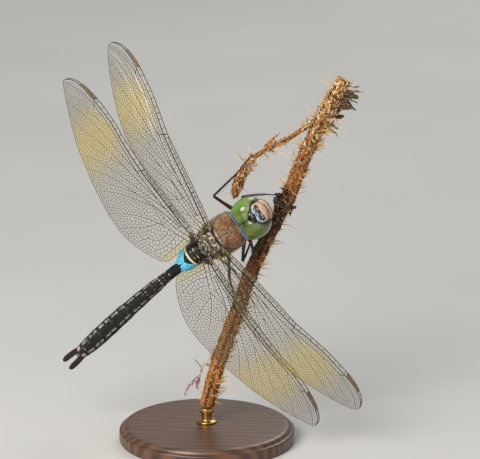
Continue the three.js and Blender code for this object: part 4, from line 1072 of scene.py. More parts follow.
def claspers(b):
    for side in (1, -1):
        root = tail + tail_left * side * 0.88 + tail_up * 0.35 - A_DIR * 0.25
        tip = tail + tail_left * side * 0.88 + tail_up * 0.35 + A_DIR * 5.45 + tail_left * side * math.tan(math.radians(3.2)) * 5.5
        u = np.linspace(0, 1, 50)
        path = root + (tip - root) * u[:, None] + tail_left * side * 0.12 * np.sin(np.pi * u)[:, None] + tail_up * 0.12 * np.sin(np.pi * u)[:, None]
        w = LEAF(u) * 0.73
        phi = np.linspace(0, 2 * np.pi, 28, endpoint=False)
        t, s, n = frames(path, tail_up)
        thick = 0.24 + 0.05 * hump(u, 0.08, 0.1) - 0.12 * step(0.6, 1, u)
        ridge = 0.12 * hump(np.cos(phi), -0.15 * side, 0.22) * np.where(np.sin(phi) > 0, 1, 0.2)
        offs = (w[:, None] * np.cos(phi)[None]), (thick[:, None] * np.sin(phi)[None] * (1 - 0.35 * np.abs(np.cos(phi)[None]) ** 3) + ridge[None] * step(0, 0.2, u)[:, None] * step(1, 0.8, u)[:, None])
        P = path[:, None] + offs[0][..., None] * s[:, None] + offs[1][..., None] * n[:, None]
        inner = -side * np.sign(s[0] @ tail_left)
        worn = np.clip(np.cos(phi) * inner, 0, 1)[None] ** 3 * (0.62 * step(0.04, 0.2, u) + 0.3 * step(0.70, 0.88, u))[:, None]
        worn = np.clip(worn + np.abs(np.cos(phi))[None] ** 12 * 0.22 * step(0.3, 0.8, u)[:, None], 0, 1)
        worn = worn * (0.55 + 0.9 * np.clip(0.5 + noise(P, 1.6, 71 + side).reshape(worn.shape), 0, 1))
        loft_into(b, body(P), 0, abdomen=1.0, clasp=1.0 + worn, grey=-5, dusk=-5, tan=-5, rust=-5, under=-5, belly=-5, pale=-5, fawn=-5, blue=-5, ring=-5, black=-5, suture=-5, cream=-5)
    u = np.linspace(0, 1, 24)
    root = tail - tail_up * 0.75 - A_DIR * 0.2
    path = root + A_DIR * 2.3 * u[:, None] + tail_up * 0.15 * (u**2)[:, None]
    t, s, n = frames(path, tail_up)
    phi = np.linspace(0, 2 * np.pi, 24, endpoint=False)
    w = 0.6 - 0.2 * u - 0.25 * step(0.85, 1, u)
    P = path[:, None] + (w[:, None] * np.cos(phi)[None])[..., None] * s[:, None] + ((0.24 - 0.08 * u)[:, None] * np.sin(phi)[None])[..., None] * n[:, None]
    loft_into(b, body(P), 0, abdomen=1.0, clasp=0.0, grey=-5, dusk=-5, tan=-5, rust=-5, under=-5, belly=-5, pale=-5, fawn=-5, blue=-5, ring=-5, black=-5, suture=-5, cream=0.5)


claspers(skin)

FLESH = ["thorax", "prothorax", "neck", "cercus_left", "cercus_right", "epiproct"]
FLESH += [f"abdomen_{k:02d}" for k in range(1, 11)]
FLESH += [f"leg_{k}_{j}" for k in LEGS for j in ("femur", "tibia", "tarsus")]
skin.make("body_skin", [CUTICLE, LEG], replaces=FLESH)

# ------------------------------------------------------------------ hair coat

def coat():
    b = Build()
    rows, cols = P_skin.shape[:2]
    X = P_skin[..., 0]
    Z = P_skin[..., 2]
    xs = np.r_[xs_skin, -3.0 - ss_skin]
    # area of each grid cell, times how hairy it is there
    du = np.linalg.norm(np.gradient(P_skin, axis=0), axis=-1)
    dv = np.linalg.norm(np.roll(P_skin, -1, 1) - P_skin, axis=-1)
    hairy = np.zeros((rows, cols))
    hairy[:nT_skin] = 0.8 - 0.68 * step(3.4, 2.8, X[:nT_skin]) * (upper_skin > 0.3) * step(2.6, 1.8, np.abs(P_skin[:nT_skin, :, 1])) + 0.3 * step(-5, -8, Z[:nT_skin])
    hairy[:nT_skin] *= step(8.9, 8.4, X[:nT_skin])
    s = ss_skin[:, None]
    hairy[nT_skin:] = 0.4 * step(3.4, 1.2, s) + 0.10 * step(9, 4, s) + 0.015
    wgt = (du * dv * hairy).ravel()
    wgt /= wgt.sum()
    count = 9000
    pick = rng.choice(len(wgt), count, p=wgt)
    r, c = pick // cols, pick % cols
    root = P_skin[r, c] + rng.normal(0, 0.05, (count, 3))
    nrm = N_skin[r, c]
    back = np.zeros((count, 3))
    back[:, 0] = -1
    tangent = unit(back - nrm * np.sum(back * nrm, 1)[:, None] + rng.normal(0, 0.35, (count, 3)))
    lift = 0.55 + 0.5 * rng.random(count)[:, None]
    d = unit(nrm * lift + tangent * 0.75)
    thorax = r < nT_skin
    length = np.where(thorax, 0.50, 0.42) * (0.5 + 0.8 * rng.random(count))
    length = np.where(thorax & (P_skin[r, c][:, 0] < 3.2) & (np.abs(P_skin[r, c][:, 1]) < 2.2) & (P_skin[r, c][:, 2] > -2.5), length * 0.6, length)
    length = np.where(~thorax & (ss_skin[np.clip(r - nT_skin, 0, len(ss_skin) - 1)] > 4), 0.22, length)
    tip = root + d * length[:, None] + tangent * (0.18 * length)[:, None]
    uv = np.stack([0.02 + 0.96 * (r / rows), 0.02 + 0.96 * (c / cols)], 1)
    spikes_into(b, body(root - nrm * 0.03), body(tip), 0.009 + 0.006 * rng.random(count), 0, 3, uv=uv, shade=rng.random(count))
    b.make("thorax_hair", [HAIR], ofbake=True)


coat()

# ------------------------------------------------------------------ head

EYE_AT = np.array([-0.65, 2.1, 0.55])
EYE_R = np.array([3.75, 2.95, 3.9])
FRONS_AT, FRONS_R = np.array([2.65, 0, 0.85]), np.array([2.15, 2.65, 1.8])
CLYP_AT, CLYP_R = np.array([2.62, 0, -1.15]), np.array([1.65, 2.6, 1.25])
VERT_AT, VERT_R = np.array([1.86, 0, 2.62]), np.array([0.88, 1.3, 0.82])
LABR_AT, LABR_R = np.array([1.9, 0, -2.65]), np.array([1.28, 2.2, 0.95])
LABI_AT, LABI_R = np.array([0.25, 0, -3.5]), np.array([2.1, 2.2, 0.95])
CAPS_AT, CAPS_R = np.array([-0.55, 0, -0.95]), np.array([2.95, 3.8, 2.95])


def ball(rows, cols):
    """unit sphere as a rings grid along y, ends at the poles"""
    t = np.linspace(0, np.pi, rows)
    t = t[1:-1]
    p = np.linspace(0, 2 * np.pi, cols, endpoint=False)
    return np.stack([np.sin(t)[:, None] * np.cos(p)[None], np.cos(t)[:, None] * np.ones(cols)[None], np.sin(t)[:, None] * np.sin(p)[None]], -1)


def depth_in(q, at, r):
    """mm outside (+) or inside (-) an ovoid, roughly"""
    return (np.linalg.norm((q - at) / r, axis=-1) - 1) * r.min()


for side in (1, -1):
    b = Build()
    S = ball(120, 160)
    nx, ny, nz = S[..., 0], S[..., 1], S[..., 2]
    across = np.maximum(np.hypot(nx, nz), 1e-6)
    power = np.where(ny < 0, 3.2, 2.15)
    fill = np.maximum(1 - np.abs(ny) ** power, 0) ** (1 / power) / across
    y = EYE_AT[1] + EYE_R[1] * ny
    y = np.maximum(y, 0.015)
    x = EYE_AT[0] + EYE_R[0] * nx * fill
    z = EYE_AT[2] + EYE_R[2] * nz * fill
    Q = np.stack([x, side * y, z], -1)
    face_d = np.minimum(np.minimum(depth_in(Q, FRONS_AT, FRONS_R * 1.03), depth_in(Q, VERT_AT, VERT_R * 1.0)), depth_in(Q, CLYP_AT, CLYP_R * 1.03))
    # the eye dips into a groove round the face
    centre_e = EYE_AT * [1, side, 1]
    pull = 0.34 * step(0.55, -0.1, face_d)
    Q = Q + unit(centre_e - Q) * pull[..., None]
    # and at the seam where the two eyes meet
    top = np.exp(-((y - 0.015) / 0.12) ** 2)
    Q = Q + unit(centre_e - Q) * (0.05 * top)[..., None]
    # flat rear face, and a field for the rim behind it
    rim = -0.85 * x + 0.35 * z - 3.1
    flat = np.clip(-(x) - 3.35, 0, 9)
    Q[..., 0] += flat * 0.35
    # flank starts further out on the right eye and shadow darkens it: painted shade on the eye turned away from the key
    # light
    loft_into(b, head(Q), 0, True, side > 0,
              near_face=-face_d, flank=y - (2.4 if side > 0 else 3.6), low=(-0.8 - z), rim=rim,
              seam=0.085 - y, shadow=0.0 if side > 0 else 0.38)
    name = "left" if side > 0 else "right"
    b.make(f"eye_{name}_lens", [EYE], replaces=[f"eye_{name}"])


def plate(b, at, r, rows=60, cols=72, squash=None, **kw):
    S = ball(rows, cols)
    Q = at + r * S
    if squash is not None:
        Q = squash(Q, S)
    f = kw.pop("fields")(Q, S) if "fields" in kw else {}
    base = dict(peach=-1.0, orange=-1.0, brown=-5.0, white=-5.0, sky=-5.0, black=-5.0, speck=-5.0)
    base.update(f)
    base = {k: (np.broadcast_to(v, Q.shape[:2]) if np.ndim(v) else v) for k, v in base.items()}
    loft_into(b, head(Q), 0, True, True, **base)


face = Build()


def frons_shape(Q, S):
    # a shelf: squarer above, with a soft edge in front and a shallow groove down the middle
    a = np.arctan2(S[..., 2], S[..., 0])
    lift = 0.16 * hump(a, math.radians(52), 0.42) * (1 - np.abs(S[..., 1]) ** 3)
    Q = Q + lift[..., None] * unit(np.stack([S[..., 0], 0 * a, S[..., 2]], -1))
    dip = 0.10 * hump(S[..., 1], 0, 0.12) * (S[..., 2] > 0)
    Q[..., 2] -= dip
    return Q


def frons_fields(Q, S):
    a = np.degrees(np.arctan2(S[..., 2], S[..., 0]))
    w = np.abs(Q[..., 1])
    mm = 1.95 * np.radians(1)
    jag = 3.0 * noise(Q, 1.6, 5).reshape(w.shape)
    jag2 = 4.0 * noise(Q, 2.4, 15).reshape(w.shape)
    sky = np.minimum(np.minimum((84 - 7 * np.sin(w * 2.2) ** 2 + jag + jag2) - a, a - 68 + jag2) * mm, 1.75 - w)
    white = np.minimum(np.minimum(109 - a, a - 64 + jag) * mm, 2.2 - w)
    bar = np.minimum(np.minimum(69 - a + jag2, a - (39 + 3 * np.cos(w * 1.6) + jag)) * mm, (2.06 - w) * 0.9)
    rim = np.maximum((a - 108) * mm, w - 2.44)
    rim = np.where(a > 8, rim, np.where(w > 2.5, w - 2.5, -5))
    groove = 0.075 - np.abs((a + 20) * mm) + 0.10 * noise(Q, 3.0, 21).reshape(w.shape)
    back = np.where(np.abs(a) > 126, 1.0, -5.0)
    # painted glints scattered over the black bar
    speck = 0.5 * noise(Q, 3.6, 9).reshape(w.shape) - 0.27 + np.where((a > 44) & (a < 70) & (w < 1.9), 0.0, -2.0)
    return dict(sky=sky, white=white, black=np.maximum.reduce([bar, rim, back, groove]), brown=(-30 - a) * mm, speck=speck)


plate(face, FRONS_AT, FRONS_R, 90, 120, frons_shape, fields=frons_fields)


def clyp_shape(Q, S):
    a = np.arctan2(S[..., 2], S[..., 0])
    Q = Q + (0.10 * hump(a, math.radians(12), 0.4) - 0.12 * hump(a, math.radians(-28), 0.10))[..., None] * unit(np.stack([S[..., 0], 0 * a, S[..., 2]], -1))
    return Q


def clyp_fields(Q, S):
    a = np.degrees(np.arctan2(S[..., 2], S[..., 0]))
    mm = 1.6 * np.radians(1)
    top = np.minimum((70 - a), (a - 44)) * mm
    return dict(peach=(a + 24) * mm, black=np.maximum((1.6 - np.abs(a + 28)) * mm, np.where(np.abs(a) > 95, 0.5, -5)),
                brown=np.maximum(np.minimum((-30 - a) * mm, (a + 60) * mm) * 0.6, top * 0.5))


plate(face, CLYP_AT, CLYP_R, 70, 96, clyp_shape, fields=clyp_fields)


def labrum_fields(Q, S):
    a = np.degrees(np.arctan2(S[..., 2], S[..., 0]))
    return dict(orange=0.6 + 0 * a, brown=(-14 - a) * 0.03, black=np.maximum((-50 - a) * 0.03, np.where(np.abs(a) > 110, 0.5, -5)))


def labrum_shape(Q, S):
    a = np.arctan2(S[..., 2], S[..., 0])
    notch = 0.12 * hump(S[..., 1], 0, 0.12) * hump(a, math.radians(-50), 0.5)
    Q[..., 2] += notch
    return Q


plate(face, LABR_AT, LABR_R, 60, 84, labrum_shape, fields=labrum_fields)
# jaws at the sides of the lip
for side in (1, -1):
    plate(face, np.array([1.2, side * 1.95, -2.65]), np.array([1.15, 0.85, 1.0]), 36, 48,
          fields=lambda Q, S: dict(orange=0.5 + 0 * S[..., 0], black=-0.9 - S[..., 2] + 0.35, brown=-S[..., 2] * 0.8))
# lower lip: a mid lobe and two side lobes
plate(face, LABI_AT, LABI_R * [1, 0.62, 1], 44, 60, fields=lambda Q, S: dict(brown=0.5 + 0 * S[..., 0]))
for side in (1, -1):
    plate(face, LABI_AT + [0.2, side * 1.25, 0.12], np.array([1.95, 1.0, 0.8]), 40, 52,
          fields=lambda Q, S: dict(brown=0.3 + 0 * S[..., 0]))

# vertex with its three simple eyes; its pale flecks are painted glints
plate(face, VERT_AT, VERT_R, 48, 60, fields=lambda Q, S: dict(black=2 + 0 * S[..., 0], speck=0.5 * noise(Q, 3.2, 12).reshape(S.shape[:2]) - 0.30))
face.make("face_plates", [FACE], replaces=["frons", "clypeus", "labrum", "labium"])

oc = Build()
for at, r in (((2.30, 0.0, 3.18), 0.17), ((1.72, 0.80, 3.20), 0.15), ((1.72, -0.80, 3.20), 0.15)):
    S = ball(20, 24)
    loft_into(oc, head(np.array(at) + r * S), 0, True, True)
oc.make("ocelli", [OCELLUS])

# back of the head: hollowed behind, with the neck going in
cap = Build()
S = ball(70, 96)
Q = CAPS_AT + CAPS_R * S
hollow = step(-0.3, -0.95, S[..., 0]) * 0.55
Q[..., 0] += hollow
cheek = 0.12 * hump(np.abs(S[..., 1]), 0.72, 0.15) * step(0.2, -0.5, S[..., 0])
Q[..., 0] -= cheek
loft_into(cap, head(Q), 0, True, True)
cap.make("head_shell", [DARK], replaces=["head_capsule"])

# feelers: two stout joints and a bristle
for side in (1, -1):
    b = Build()
    root = np.array([2.55, side * 1.75, 2.65])
    d0 = unit([0.45, side * 0.3, 1.0])
    p = [root, root + d0 * 0.35, root + d0 * 0.75]
    tip = np.array([2.55, side * 1.75, 2.85]) + unit([0.72, side * 0.42, 0.45]) * 4.1
    path = resample(curve([root, root + d0 * 0.5, root + np.array([1.0, side * 0.5, 0.95]), (root + tip) / 2 + [0.2, side * 0.1, 0.45], tip], 10), 60)
    u = np.linspace(0, 1, 60)
    r = np.where(u < 0.10, 0.17, np.where(u < 0.2, 0.13, 0.075 * (1 - u) + 0.022))
    r = r - 0.04 * hump(u, 0.10, 0.012) - 0.03 * hump(u, 0.2, 0.012)
    tube_into(b, head(path), r, 10)
    name = "left" if side > 0 else "right"
    b.make(f"feeler_{name}", [LEG], replaces=[f"antenna_{name}"])

# short hair on the face
fb = Build()
cnt = 1100
th = rng.uniform(-0.5, 1.0, cnt) * np.pi * 0.6
yy = rng.uniform(-0.9, 0.9, cnt)
S_ = np.stack([np.cos(th) * np.sqrt(1 - yy**2), yy, np.sin(th) * np.sqrt(1 - yy**2)], 1)
which = rng.random(cnt) < 0.55
at = np.where(which[:, None], FRONS_AT, CLYP_AT)
rr = np.where(which[:, None], FRONS_R, CLYP_R)
root = at + rr * S_ * 1.02
d = unit(unit(S_ / rr) + rng.normal(0, 0.25, (cnt, 3)) + [0.0, 0, -0.3])
ln = 0.28 + 0.25 * rng.random(cnt)
keep = (S_[:, 0] > 0.1)
uv = np.stack([0.5 + 0.45 * S_[:, 1], 0.5 + 0.45 * np.sin(th)], 1)
spikes_into(fb, head(root[keep]), head((root + d * ln[:, None])[keep]), 0.012, 0, 3, uv=uv[keep], shade=rng.random(keep.sum()) * 0.5)
fb.make("face_hair", [HAIR], ofbake=True)

# ------------------------------------------------------------------ wings

FORE = dict(
    span=50.0, start=0.2, nodus=24.6, stigma=(41.6, 46.4),
    lead=profile([[0, 0.9], [4, 1.3], [10, 1.5], [24, 1.7], [30, 2.4], [36, 2.95], [42, 3.0], [45.5, 2.55], [48.2, 1.5], [49.6, 0.3], [50, -0.6]]),
    trail=profile([[0, -1.0], [2, -2.8], [6, -5.0], [12, -6.7], [20, -7.7], [28, -7.9], [34, -7.25], [40, -5.7], [44, -4.4], [47, -3.2], [49.3, -2.0], [50, -1.1]]),
    veins=[
        (0.105, [[4.4, -0.75], [9, -0.8], [14, -0.8], [19, -0.75], [24.6, -0.4], [30, 0.35], [36, 1.05], [42, 1.15], [46.5, 0.2], [48.9, -1.1], [49.75, -1.85]]),
        (0.085, [[24.6, -0.4], [30, -0.7], [36, -1.05], [41, -1.85], [45.5, -2.85], [47.5, -3.1]]),
        (0.090, [[15.0, -0.8], [20, -1.45], [26, -1.8], [33, -2.35], [39, -3.3], [43.5, -4.1], [45.2, -4.1]]),
        (0.095, [[12.0, -0.8], [17, -1.95], [23, -3.2], [29, -4.75], [33.2, -6.5], [34.2, -7.35]]),
        (0.100, [[4.4, -1.05], [7.0, -1.4], [9.6, -1.75], [14.1, -2.55], [18, -3.3], [23, -4.5], [27.6, -6.2], [30.2, -7.95]]),
        (0.105, [[0.2, -0.15], [2.2, -0.75], [4.4, -1.65], [7.0, -1.9], [9.6, -2.2]]),
        (0.100, [[0.2, -0.85], [2.5, -1.75], [5.0, -2.35], [7.6, -2.85], [9.8, -3.35]]),
        (0.095, [[9.6, -1.75], [9.6, -2.2], [9.8, -3.35]]),
        (0.085, [[9.6, -2.2], [14.1, -2.62]]),
        (0.085, [[9.8, -3.35], [14.1, -2.62]]),
        (0.090, [[14.1, -2.62], [17, -4.2], [20.6, -5.8], [24.2, -7.5], [25.0, -7.95]]),
        (0.090, [[9.8, -3.35], [12.4, -4.3], [15.4, -5.7], [17.8, -7.1], [18.6, -7.6]]),
        (0.080, [[9.8, -3.35], [10.6, -4.7], [12.0, -6.2], [12.8, -6.85]]),
        (0.080, [[5.0, -2.35], [6.4, -3.6], [8.6, -5.2], [9.8, -6.2]]),
        (0.070, [[24.5, -1.75], [28, -2.95], [33, -4.1], [37.4, -5.6], [38.4, -6.25]]),
        (0.070, [[18.5, -3.4], [21.4, -4.8], [24.8, -6.4], [27.6, -7.95]]),
        (0.065, [[35.0, 0.95], [37.4, 0.0], [42, -0.75], [46.4, -1.7], [48.9, -2.35]]),
        (0.100, [[4.4, 0.25], [4.4, -1.65]]),
    ])
HIND = dict(
    span=48.5, start=0.2, nodus=20.2, stigma=(40.0, 45.0),
    lead=profile([[0, 0.8], [5, 0.9], [10, 1.0], [20, 1.2], [28, 1.8], [34, 2.7], [39, 2.95], [43, 2.7], [46, 1.95], [47.8, 0.9], [48.5, -0.3]]),
    trail=profile([[0, -8.3], [1.0, -9.6], [2.4, -10.5], [5.1, -11.7], [9.2, -12.9], [12.5, -13.3], [16, -13.1], [20.3, -12.4], [25.2, -11.3],
                   [28.8, -10.2], [33.1, -8.9], [37.9, -6.9], [42, -4.8], [45.5, -2.9], [48, -1.3], [48.5, -0.8]]),
    veins=[
        (0.105, [[4.6, -0.85], [10, -1.05], [15, -1.05], [20.4, -0.85], [26, -0.2], [32, 0.75], [38, 1.2], [43, 0.95], [46.6, -0.15], [48.2, -1.15]]),
        (0.085, [[20.4, -0.85], [28, -1.15], [34, -1.45], [40, -2.3], [44.0, -3.4], [45.2, -3.25]]),
        (0.090, [[12.6, -1.05], [18, -1.85], [24, -2.35], [31, -3.2], [37, -4.6], [41.3, -5.25]]),
        (0.095, [[10.0, -1.05], [15, -2.45], [21, -4.0], [27.6, -6.1], [32.4, -8.5], [32.8, -9.05]]),
        (0.100, [[4.6, -1.25], [8, -1.75], [12.3, -2.85], [17, -4.2], [22.6, -6.0], [27.4, -8.6], [29.3, -10.1]]),
        (0.105, [[0.2, -0.5], [2.4, -1.2], [4.6, -1.95], [7.6, -2.6]]),
        (0.100, [[0.2, -1.5], [2.2, -2.2], [4.4, -3.0], [7.4, -4.1]]),
        (0.095, [[7.55, -1.7], [7.6, -2.6], [7.4, -4.1]]),
        (0.085, [[7.6, -2.6], [12.3, -3.05]]),
        (0.085, [[7.4, -4.1], [12.3, -3.05]]),
        (0.090, [[12.3, -3.05], [16, -5.1], [20.2, -7.9], [23.4, -11.1], [23.8, -11.65]]),
        (0.090, [[7.4, -4.1], [9.6, -5.2], [13, -7.5], [16.2, -10.5], [17.8, -12.85]]),
        (0.085, [[8.6, -4.7], [9.2, -6.4], [10.2, -8.4], [12.4, -11.2], [13.4, -13.3]]),
        (0.085, [[5.8, -3.5], [5.2, -5.4], [5.6, -7.6], [7.4, -8.8], [10.2, -8.4]]),
        (0.080, [[7.4, -8.8], [8.2, -10.8], [9.2, -12.95]]),
        (0.085, [[3.8, -2.8], [3.2, -5.4], [3.6, -8.2], [4.9, -11.65]]),
        (0.080, [[1.8, -2.05], [1.7, -4.8], [1.7, -7.6], [1.5, -9.95]]),
        (0.070, [[24.0, -2.35], [27.6, -3.9], [31.6, -5.3], [35.6, -7.0], [36.4, -7.6]]),
        (0.070, [[17.0, -4.2], [20.2, -6.0], [23.6, -8.5], [26.2, -11.05]]),
        (0.065, [[33.4, 0.88], [36.0, -0.1], [41, -0.95], [45.4, -2.0], [47.0, -2.15]]),
        (0.100, [[4.6, -0.25], [4.6, -1.95]]),
    ])
WINGS = {
    "forewing_left": (FORE, (2.0, 2.75, 0.0), 86.1, 8.5, 1),
    "forewing_right": (FORE, (2.0, -2.75, 0.0), 84.4, 11.7, -1),
    "hindwing_left": (HIND, (-1.9, 2.65, -0.3), 96.8, 1.8, 1),
    "hindwing_right": (HIND, (-1.9, -2.65, -0.3), 94.2, 13.2, -1),
}


def near_edge(w, s):
    """the radius: the strong vein behind the leading edge"""
    t = np.asarray(s, float) / w["span"]
    gap = np.interp(t, [0, 0.1, 0.38, 0.50, 0.58, 0.85, 0.95, 1.0], [1.0, 1.2, 1.15, 1.0, 0.9, 0.95, 0.62, 0.3])
    return w["lead"](s) - gap


def pleat(w, s, c):
    """height of the wing surface: sharp pleats behind the leading edge that fade out"""
    s, c = np.asarray(s, float), np.asarray(c, float)
    u = w["lead"](s) - c
    t = s / w["span"]
    fade = (1 - 0.7 * t) * np.exp(-u / 2.6)
    z = 0.17 * fade * np.cos(2 * np.pi * u / 1.2)
    z += 0.05 * np.sin(u * 1.9 + 0.25 * s) * np.exp(-u / 7.0)
    chord = w["lead"](s) - w["trail"](s)
    z += 0.07 * np.sin(np.pi * np.clip(u / np.maximum(chord, 0.5), 0, 1))
    return z


GRID = 0.05


class Fields:
    """the areas of a wing that its main veins part, as a raster of numbers"""

    def __init__(self, w):
        self.w = w
        self.x0, self.y0 = -0.6, -14.2
        self.nx = int((w["span"] + 1.4) / GRID)
        self.ny = int(18.2 / GRID)
        xs = self.x0 + (np.arange(self.nx) + 0.5) * GRID
        ys = self.y0 + (np.arange(self.ny) + 0.5) * GRID
        self.lines = [resample(curve(np.array(v), 16), 260) if len(v) > 2 else resample(np.array(v, float), 60) for _, v in w["veins"]]
        ss = np.linspace(w["start"], w["span"], 520)
        front = np.stack([ss, near_edge(w, ss)], 1)
        back = np.stack([ss, w["trail"](ss)], 1)
        root = np.stack([np.full(160, w["start"]), np.linspace(w["trail"](w["start"]), near_edge(w, w["start"]), 160)], 1)
        self.walls = np.vstack(self.lines + [front, back, root])
        free = (xs[None] > w["start"]) & (xs[None] < w["span"]) & (ys[:, None] < near_edge(w, xs)[None]) & (ys[:, None] > w["trail"](xs)[None])
        for L in self.lines + [front, back, root]:
            d = np.linalg.norm(np.diff(L, axis=0), axis=1).sum()
            q = resample(L, int(d / (GRID * 0.4)) + 2)
            i = np.clip(((q[:, 0] - self.x0) / GRID).astype(int), 0, self.nx - 1)
            j = np.clip(((q[:, 1] - self.y0) / GRID).astype(int), 0, self.ny - 1)
            free[j, i] = False
            free[j, np.clip(i + 1, 0, self.nx - 1)] = False
            free[np.clip(j + 1, 0, self.ny - 1), i] = False
        self.label = self.number(free)

    @staticmethod
    def number(free):
        parent = [0]

        def find(a):
            while parent[a] != a:
                parent[a] = parent[parent[a]]
                a = parent[a]
            return a

        label = np.zeros(free.shape, int)
        before = []
        for y in range(free.shape[0]):
            row = np.r_[False, free[y], False].astype(np.int8)
            d = np.diff(row)
            runs = list(zip(np.nonzero(d == 1)[0], np.nonzero(d == -1)[0]))
            now = []
            for a, z in runs:
                own = 0
                for b_, y_, l in before:
                    if b_ < z and y_ > a:
                        l = find(l)
                        if own and own != l:
                            parent[max(own, l)] = min(own, l)
                            own = min(own, l)
                        else:
                            own = l
                if not own:
                    own = len(parent)
                    parent.append(own)
                label[y, a:z] = own
                now.append((a, z, own))
            before = now
        flat = np.array([find(k) for k in range(len(parent))])
        return flat[label]

    def at(self, p):
        p = np.asarray(p, float).reshape(-1, 2)
        i = ((p[:, 0] - self.x0) / GRID).astype(int)
        j = ((p[:, 1] - self.y0) / GRID).astype(int)
        ok = (i >= 0) & (i < self.nx) & (j >= 0) & (j < self.ny)
        return np.where(ok, self.label[np.clip(j, 0, self.ny - 1), np.clip(i, 0, self.nx - 1)], 0)


def cell_net(w, seed):
    """the small cells: in each area, cells square to the veins that bound it"""
    r = np.random.default_rng(seed)
    A = Fields(w)
    tree = KDTree(len(A.walls))
    for k, p in enumerate(A.walls):
        tree.insert((p[0], p[1], 0), k)
    tree.balance()

    def size(s, c):
        back = c - w["trail"](s)
        t = s / w["span"]
        h = 0.54 + 0.40 * (1 - t) ** 2
        return np.where(back < 1.2, h * 0.86, h)

    gx, gy = np.meshgrid(np.arange(w["start"], w["span"], 0.095), np.arange(-13.6, 3.0, 0.095))
    cand = np.stack([gx.ravel(), gy.ravel()], 1) + r.normal(0, 0.022, (gx.size, 2))
    lab = A.at(cand)
    cand, lab = cand[lab > 0], lab[lab > 0]
    near = np.array([tree.find((p[0], p[1], 0))[2] for p in cand])
    h = size(cand[:, 0], cand[:, 1])
    # local ridges of the distance, for the narrow areas
    cells = {}

    def clash(p, l, gap):
        i, j = int(math.floor(p[0])), int(math.floor(p[1]))
        for a in (i - 1, i, i + 1):
            for b_ in (j - 1, j, j + 1):
                for q, m in cells.get((a, b_), ()):
                    if m == l and (q[0] - p[0]) ** 2 + (q[1] - p[1]) ** 2 < gap * gap:
                        return True
        return False

    def keep(p, l):
        cells.setdefault((int(math.floor(p[0])), int(math.floor(p[1]))), []).append((p, l))

    order = np.argsort(np.abs(near - 0.45 * h) + 0.035 * r.random(len(near)) + np.where(near > 0.56 * h, 9.0, 0))
    seeds, labels = [], []
    for k in order:
        if near[k] < 0.11:
            continue
        gap = h[k] * (0.90 if near[k] < 0.56 * h[k] else 0.84)
        if near[k] < 0.38 * h[k]:
            gap = h[k] * 0.95
        if not clash(cand[k], lab[k], gap):
            keep(cand[k], lab[k])
            seeds.append(cand[k])
            labels.append(lab[k])
    seeds, labels = np.array(seeds), np.array(labels)
    segs = []
    for l in np.unique(labels):
        S = seeds[labels == l]
        ghosts = []
        for p in S:
            hits = tree.find_range((p[0], p[1], 0), 1.0)
            hits.sort(key=lambda t: t[2])
            used = []
            for co, _, dist in hits:
                if dist < 0.03:
                    continue
                d = np.array([co[0] - p[0], co[1] - p[1]]) / dist
                if any(d @ e > 0.25 for e in used):
                    continue
                probe = p + d * dist * np.array([[0.3], [0.6], [0.85]])
                if dist > 0.18 and not (A.at(probe) == l).all():
                    continue
                used.append(d)
                ghosts.append(p + 2 * d * dist)
                if len(used) == 3:
                    break
        pts = np.vstack([S, np.array(ghosts).reshape(-1, 2), [[-30, -40], [80, -40], [80, 30], [-30, 30]]])
        V, _, faces, origin, *_ = geometry.delaunay_2d_cdt([Vector(p) for p in pts], [], [], 0, 1e-6)
        V = np.array([[v.x, v.y] for v in V])
        real = np.array([min(o) < len(S) if len(o) else False for o in origin])
        cc, shared = {}, {}
        for fi, f in enumerate(faces):
            a, b_, c_ = V[f[0]], V[f[1]], V[f[2]]
            dd = 2 * (a[0] * (b_[1] - c_[1]) + b_[0] * (c_[1] - a[1]) + c_[0] * (a[1] - b_[1]))
            if abs(dd) < 1e-9:
                continue
            a2, b2, c2 = a @ a, b_ @ b_, c_ @ c_
            cc[fi] = np.array([(a2 * (b_[1] - c_[1]) + b2 * (c_[1] - a[1]) + c2 * (a[1] - b_[1])) / dd,
                               (a2 * (c_[0] - b_[0]) + b2 * (a[0] - c_[0]) + c2 * (b_[0] - a[0])) / dd])
            for k in range(3):
                e = (f[k], f[(k + 1) % 3])
                shared.setdefault((min(e), max(e)), []).append(fi)
        for (i, k), fs in shared.items():
            if len(fs) != 2 or not (real[i] and real[k]) or fs[0] not in cc or fs[1] not in cc:
                continue
            p, q = cc[fs[0]], cc[fs[1]]
            if np.linalg.norm(p - q) < 0.02:
                continue
            # trimmed to its own area
            u = np.linspace(0, 1, 25)
            line = p + (q - p) * u[:, None]
            own = A.at(line) == l
            if not own.any():
                continue
            first, last = np.argmax(own), len(own) - 1 - np.argmax(own[::-1])
            a, b_ = line[first], line[last]
            d = unit(q - p)
            if first > 0:
                a = a - d * 0.06
            if last < 24:
                b_ = b_ + d * 0.06
            if np.linalg.norm(a - b_) > 0.06:
                segs.append((a, b_))
    return segs


